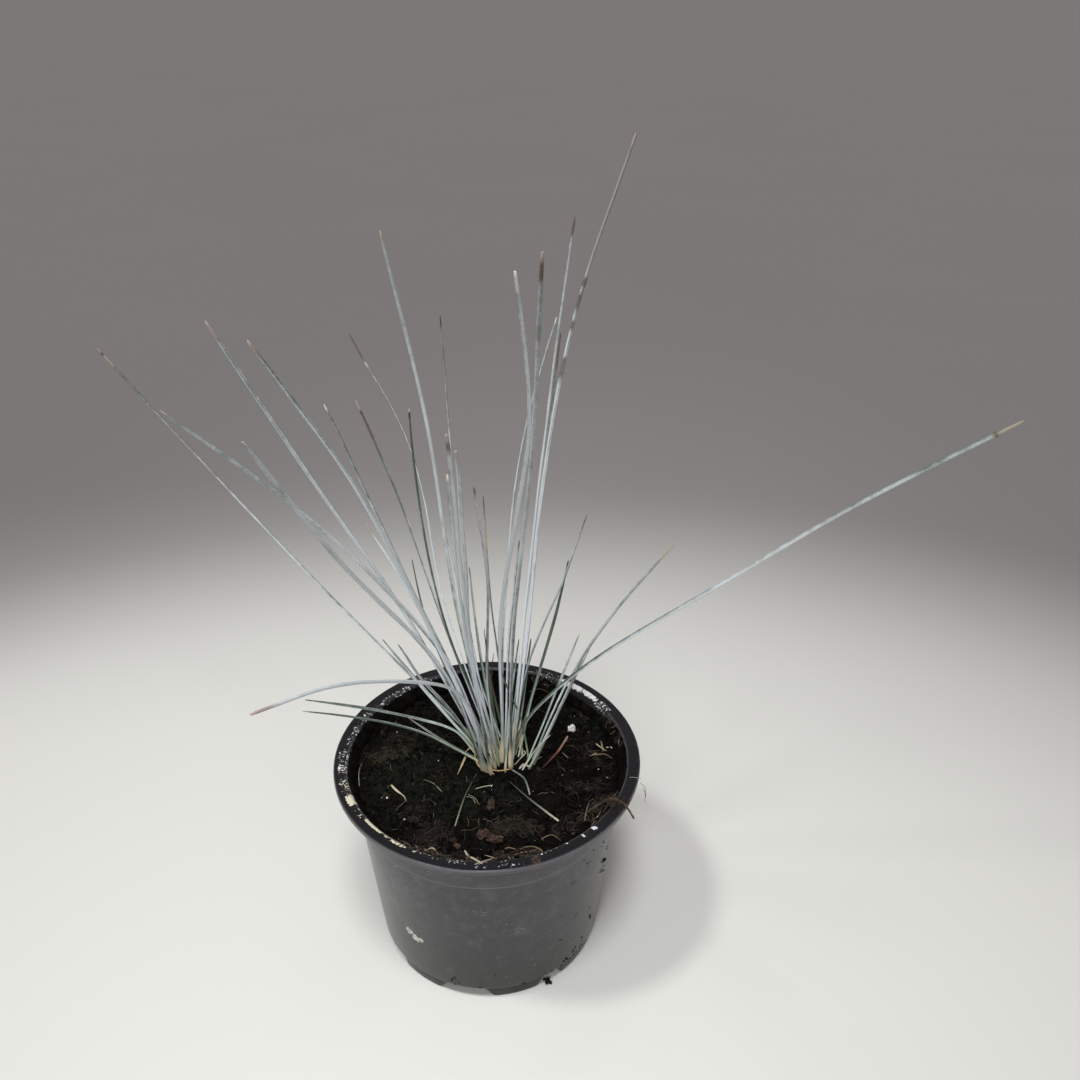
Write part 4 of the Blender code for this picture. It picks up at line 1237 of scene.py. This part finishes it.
def pot_material():
    paint = Paint("pot_plastic", roughness=0.42, specular=0.34)
    paint.set("Sheen Weight", 0.15)
    paint.set("Sheen Roughness", 0.45)
    around = paint.node("ShaderNodeUVMap", "UV", uv_map="wall")
    x, z = (paint.node("ShaderNodeSeparateXYZ", axis, {0: paint.place}) for axis in "XZ")
    shine, dust = paint.value("shine"), paint.value("dust")
    cloud = paint.noise(26.0, detail=4.0, rough=0.6)
    mottle = paint.noise(150.0, detail=5.0, rough=0.65)
    specks = paint.noise(950.0, detail=3.0, rough=0.65)
    grain = paint.noise(420.0)

    # painted shade for the foot ring, which is recessed under the wall's edge
    foot_painted_shade_colour = paint.mix(mottle.step(0.45, 0.62), (0.003, 0.003, 0.0035), (0.018, 0.017, 0.018))
    dust_colour = paint.mix(specks.step(0.45, 0.62), (0.0025, 0.0022, 0.0022), (0.012, 0.009, 0.0075))

    marks = 0.0
    for turn, scale, low, high in SCRATCHES:
        streaks = paint.noise(1.0, detail=1.5, vector=paint.stretched(around, scale, turn))
        marks = paint.maths("ADD", streaks.step(low, high), marks, clamp=True)
    scratches = marks * (paint.noise(34.0, detail=2.0).step(0.42, 0.62) * 0.50 + 0.12)
    flecks = paint.noise(620.0, detail=2.0, rough=0.6).step(0.68, 0.76) * mottle.step(0.45, 0.60)
    rubbed = paint.noise(1.0, detail=2.0, vector=paint.stretched(around, (330.0, 1500.0, 1.0)))
    scuffs = paint.near(SCUFFS, 0.0) * rubbed.step(0.50, 0.64)

    off_seep = paint.maths("ABSOLUTE", x + mottle * 0.005 - (SEEP_PLACE[0] + 2.5) * MM)
    seep = off_seep.step(0.0024, 0.0002) * specks.step(0.34, 0.66)
    seep = seep * paint.away(SEEP_PLACE).step(9.6, 6.8) * grain.step(0.12, 0.42)

    plastic = paint.layered(
        paint.mix(cloud, (0.028, 0.0275, 0.0325), (0.050, 0.049, 0.056)),
        (mottle.step(0.46, 0.70) * 0.55, (0.094, 0.092, 0.100)),
        # painted shade: the wall darkens towards the foot
        ((z + mottle * 0.016).step(0.078, 0.016) * 0.94, (0.0095, 0.0092, 0.0105)),  # darker to the foot
        ((z + mottle * 0.010).step(0.068, 0.086) * 0.14, (0.115, 0.112, 0.124)),  # paler under the lip
        # painted shade: the recessed foot ring is darker
        (z.step((BASE_HEIGHT + 0.2) * MM, (BASE_HEIGHT - 0.2) * MM), foot_painted_shade_colour),
        # painted shade: the inner wall and the lip's top are darker than the rest, and this mask also
        # makes them glossier
        (shine, (0.0060, 0.0058, 0.0080)),
        # dust on the inner wall, made darker still as painted shade
        (dust, dust_colour),
        # painted highlights: pale bands on the lip's outer corner and the moulding line
        (paint.value("edge_wear"), (0.20, 0.20, 0.22)),
        (scratches * (1.0 - shine), (0.27, 0.27, 0.29)),
        (flecks * 0.45, (0.24, 0.235, 0.23)),
        (scuffs * 0.75, (0.22, 0.22, 0.25)),
        (seep * 0.85, (0.130, 0.088, 0.070)),
    )

    strokes = paint.noise(1.0, vector=paint.stretched(around, (1250.0, 520.0, 1.0), 0.35))
    chip = (paint.near(CHIPS, 0.25) + strokes * 2.4).step(1.80, 2.06) * specks.step(0.36, 0.50)
    lime = specks * 0.62 + mottle * 0.38 + paint.value("lime") * 0.36
    crust = paint.maths("MAXIMUM", lime.step(0.730, 0.775), chip)
    warm = paint.maths("ADD", paint.noise(75.0) * 0.3, paint.value("warm_lime"), clamp=True)
    warm = paint.maths("MAXIMUM", warm, chip * 0.7)
    crust_colour = paint.mix(warm, (0.76, 0.75, 0.83), (0.66, 0.62, 0.48))
    paint.set("Base Color", paint.mix(crust, plastic, crust_colour))
    paint.set("Roughness", cloud * 0.16 + crust * 0.5 - shine * 0.10 + dust * 0.55 + 0.29)
    paint.set("Normal", paint.bump(crust, 0.15, 0.8, below=paint.bump(grain, 0.05, 0.35)))
    return paint.material


def edge_wear(points):
    """Painted highlights as pale bands: the lip's outer corner and the moulding line."""
    radius, height = np.hypot(points[:, 0], points[:, 1]), points[:, 2]
    outer = 0.45 * np.exp(-(((height - POT_HEIGHT + 0.6) / 0.45) ** 2)) * (radius > RIM_RADIUS - 0.6)
    line = 0.35 * (np.abs(height - STEP_HEIGHT) < 0.4) * (radius > wall_radius(STEP_HEIGHT) - 0.1)
    return outer + line


def add_pot():
    profile = pot_profile()
    points = []
    for step in range(POT_STEPS):
        azimuth = 360.0 * step / POT_STEPS
        lift = foot_lift(azimuth)
        for radius, height in profile:
            if height < FOOT_TOP and radius > FOOT_RADIUS - FOOT_WIDTH - 0.1:
                height = lift + height * (1.0 - lift / NOTCH_LIMIT)
            points.append((*polar(radius, math.radians(azimuth)), height))
    points = np.array(points)
    radius, height = np.hypot(points[:, 0], points[:, 1]), points[:, 2]
    funnel = FUNNEL_RADIUS + 0.6 + 0.68 * (height - FUNNEL_LOW)
    inner_limit = np.where(height < FUNNEL_LOW, wall_radius(height) - 0.5, funnel)
    inner_wall = (height > FLOOR_TOP) & (radius < inner_limit)
    lip_top = smoothstep(height, POT_HEIGHT - 0.35, POT_HEIGHT - 0.05)
    front_left = smoothstep(points[:, 0], 0.0, -30.0) * smoothstep(points[:, 1], -5.0, -25.0)
    builder = MeshBuilder()
    builder.add(
        points, ring_faces(POT_STEPS, len(profile), closed=True), lime=lime_strength(points),
        warm_lime=front_left * (height > 80.0), edge_wear=edge_wear(points),
        # dust with painted shade on the inner wall
        # painted shade and a glossier finish on the inner wall and the lip's top
        shine=np.maximum(inner_wall * 1.0, lip_top), dust=inner_wall,
    )
    pot = builder.make("pot_moulded", pot_material(), "pot", "pot", sharp_angle=38.0)
    wall = pot.data.uv_layers.new(name="wall")
    coords = np.array([vert.co for vert in pot.data.vertices])
    corners = np.array([loop.vertex_index for loop in pot.data.loops])
    u = np.arctan2(-coords[:, 0], -coords[:, 1])[corners] * RIM_RADIUS * MM
    wall.data.foreach_set("uv", np.stack([u, coords[corners, 2]], axis=1).astype(np.float32).ravel())


# Crumbs stuck to the pot: azimuth in degrees, height, size (mm)
POT_DIRT = (
    (-50, 5, 1.0), (-47, 9, 1.4), (-44, 6, 0.9), (-41, 11, 1.1), (-39, 5, 1.2), (-36, 8, 0.8),
    (-33, 7, 1.0), (-30, 24, 1.1), (-28, 21, 0.9), (-33, 31, 0.8), (-24, 56, 1.5), (-22, 52, 1.7),
    (-25, 49, 1.1), (-20, 60, 0.9), (-19, 44, 1.0), (-62, 8, 0.8), (-57, 5, 1.0), (-106, 12, 1.3),
    (-105, 9, 0.9), (-93, 9, 0.8), (-71, 3, 1.0), (-52, 27, 0.7), (-45, 37, 0.8), (-48, 62, 0.8),
    (-40, 68, 0.9), (-43, 73, 0.7), (-37, 74, 0.8), (-29, 71, 0.8), (-35, 14, 1.0), (-60, 24, 0.6),
    (-78, 30, 0.5), (-85, 17, 0.6), (-54, 45, 0.6), (-66, 40, 0.5), (-120, 50, 0.6), (-112, 33, 0.5),
    (20, 30, 1.0), (75, 12, 1.1), (110, 8, 0.9), (160, 14, 1.2), (175, 40, 0.8), (140, 26, 0.9),
    (45, 9, 1.1),
)
FOOT_LUMP = (26.5, -41.5, 1.6)
DIRT_BROWN = (0.016, 0.011, 0.008)


def add_pot_dirt(material):
    """Dry crumbs that cling to the wall, and the lump of soil by the foot."""
    random = np.random.default_rng(SEEDS["pot dirt"])
    builder = MeshBuilder()
    for azimuth, height, size in POT_DIRT:
        for _ in range(DIRT_PER_SPOT):
            angle = math.radians(azimuth + random.normal(0.0, 1.1))
            up = max(BASE_HEIGHT + 0.6, height + random.normal(0.0, 1.3))
            part = 0.62 * size * random.uniform(0.25, 0.62)
            points, faces = lump(random, (part, part, part), 0.6, subdivisions=2)
            place = (*polar(wall_radius(up) + 0.15 * part, angle), up)
            tint = np.array(DIRT_BROWN) * random.uniform(0.6, 1.8)
            builder.add(points + place, faces, tint=tint)
    for _ in range(FOOT_LUMP_PARTS):
        part = random.uniform(0.3, 0.9)
        points, faces = lump(random, (part, part, 0.8 * part), 0.6, subdivisions=2)
        points = points + np.array(FOOT_LUMP) + random.normal(0.0, (0.8, 0.6, 0.4))
        points[:, 2] = np.maximum(points[:, 2], 0.02)
        builder.add(points, faces, tint=(0.014, 0.010, 0.007))
    builder.make("pot_dirt", material, "soil")


# Fine roots on the lip: thickness, colour at the start and end, points
RIM_HAIRS = (
    (0.95, (0.60, 0.56, 0.46), (0.36, 0.33, 0.26),
     ((-6.6, -50.5, 90.4), (-5.0, -54.5, 91.9), (-2.6, -58.0, 94.2), (0.8, -61.6, 95.5))),
    (0.60, (0.30, 0.26, 0.18), (0.34, 0.31, 0.24),
     ((4.5, -58.6, 94.9), (1.5, -60.2, 95.3), (-2.0, -61.8, 95.3))),
    (0.34, (0.24, 0.21, 0.18), (0.30, 0.27, 0.24),
     ((54.6, -13.2, 90.0), (57.5, -13.9, 93.4), (60.5, -14.4, 95.2), (64.4, -15.2, 95.2))),
    (0.26, (0.16, 0.13, 0.10), (0.10, 0.075, 0.055),
     ((63.6, -17.5, 95.2), (65.4, -18.6, 94.0), (65.9, -20.0, 91.0), (65.6, -21.5, 88.5))),
    (0.20, (0.12, 0.09, 0.07), (0.12, 0.09, 0.07),
     ((64.6, -21.0, 95.1), (65.7, -21.8, 93.2), (65.9, -21.2, 91.0))),
    (0.18, (0.14, 0.10, 0.08), (0.10, 0.07, 0.05),
     ((65.9, -20.0, 91.5), (66.3, -18.6, 90.2), (66.0, -17.8, 88.6))),
)
# Bits of fibre caught on the slope inside the lip: azimuth from and to, count, heap height
SLOPE_LITTER = (
    (236, 264, 42, 3.4), (262, 294, 60, 3.0), (316, 338, 24, 2.5), (8, 30, 30, 0.3), (60, 76, 14, 0.3),
)
LIP_BROWN = (0.060, 0.044, 0.034)


def add_rim_hairs(material):
    """Pale roots that lie over the lip, threads that hang from it, and bits caught inside it."""
    builder = MeshBuilder()
    for thickness, start, end, points in RIM_HAIRS:
        add_fibre(builder, points, thickness, (start, end))
    random = np.random.default_rng(SEEDS["lip litter"])
    for low, high, count, heap in SLOPE_LITTER:
        for _ in range(count):
            angle, away = math.radians(random.uniform(low, high)), random.uniform(56.4, 60.0)
            heading = angle + math.pi / 2 + random.normal(0.0, 0.9)
            length, lift, points = random.uniform(0.8, 3.6), heap * random.uniform(0.0, 1.0), []
            for share in (-0.5, -0.15, 0.2, 0.5):
                x = away * math.cos(angle) + share * length * math.cos(heading)
                y = away * math.sin(angle) + share * length * math.sin(heading)
                radius = min(max(math.hypot(x, y), FUNNEL_RADIUS), SLOPE_RADIUS)
                slope = FUNNEL_LOW + (radius - FUNNEL_RADIUS) / FUNNEL_SLOPE
                spread = radius / math.hypot(x, y)
                height = max(slope, min(slope + lift, POT_HEIGHT - 0.6)) + random.uniform(0.1, 0.4)
                points.append((spread * x, spread * y, min(height, POT_HEIGHT + 0.4)))
            tint = np.array(LIP_BROWN) * 0.32 * 16.0 ** (random.uniform(0.0, 1.0) ** 1.6)
            add_fibre(builder, points, random.uniform(0.18, 0.55), tint)
    builder.make("rim_hairs", material, "root")


# ---------------------------------------------------------------- stage


FLOOR_HALF = 12.0  # metres


def add_floor():
    mesh = bpy.data.meshes.new("studio_floor")
    corners = [(x * FLOOR_HALF, y * FLOOR_HALF, 0) for x, y in ((-1, -1), (1, -1), (1, 1), (-1, 1))]
    mesh.from_pydata(corners, [], [(0, 1, 2, 3)])
    paint = Paint("pale_floor", roughness=0.6, specular=0.3)
    paint.set("Base Color", paint.mix(paint.noise(3.0), (0.79, 0.79, 0.765), (0.82, 0.82, 0.80)))
    mesh.materials.append(paint.material)
    floor = placed("studio_floor", mesh)


# ---------------------------------------------------------------- all together

add_camera()
add_lights()
add_floor()
add_pot()
soil_ground = Ground()
add_soil(soil_ground)
crumb_paint, fibre_paint, blade_paint = crumb_material(), fibre_material(), leaf_material()
add_crumbs(soil_ground, crumb_paint)
add_loose_fibres(soil_ground, fibre_paint)
add_fibre_bands(soil_ground, fibre_paint)
add_moss(soil_ground, fibre_paint)
add_scraps(soil_ground, fibre_paint)
for litter_name in LITTER_LOOKS:
    add_litter(litter_name, soil_ground, fibre_paint)
add_lumps(soil_ground)
add_pot_dirt(crumb_paint)
add_rim_hairs(fibre_paint)
leaf_count = 0
for group, leaf_looks in LEAF_LOOKS.items():
    for number, look in enumerate(leaf_looks, 1):
        add_leaf(f"{group}_leaf_{number:02d}", blade_paint, leaf_count, *look)
        leaf_count += 1
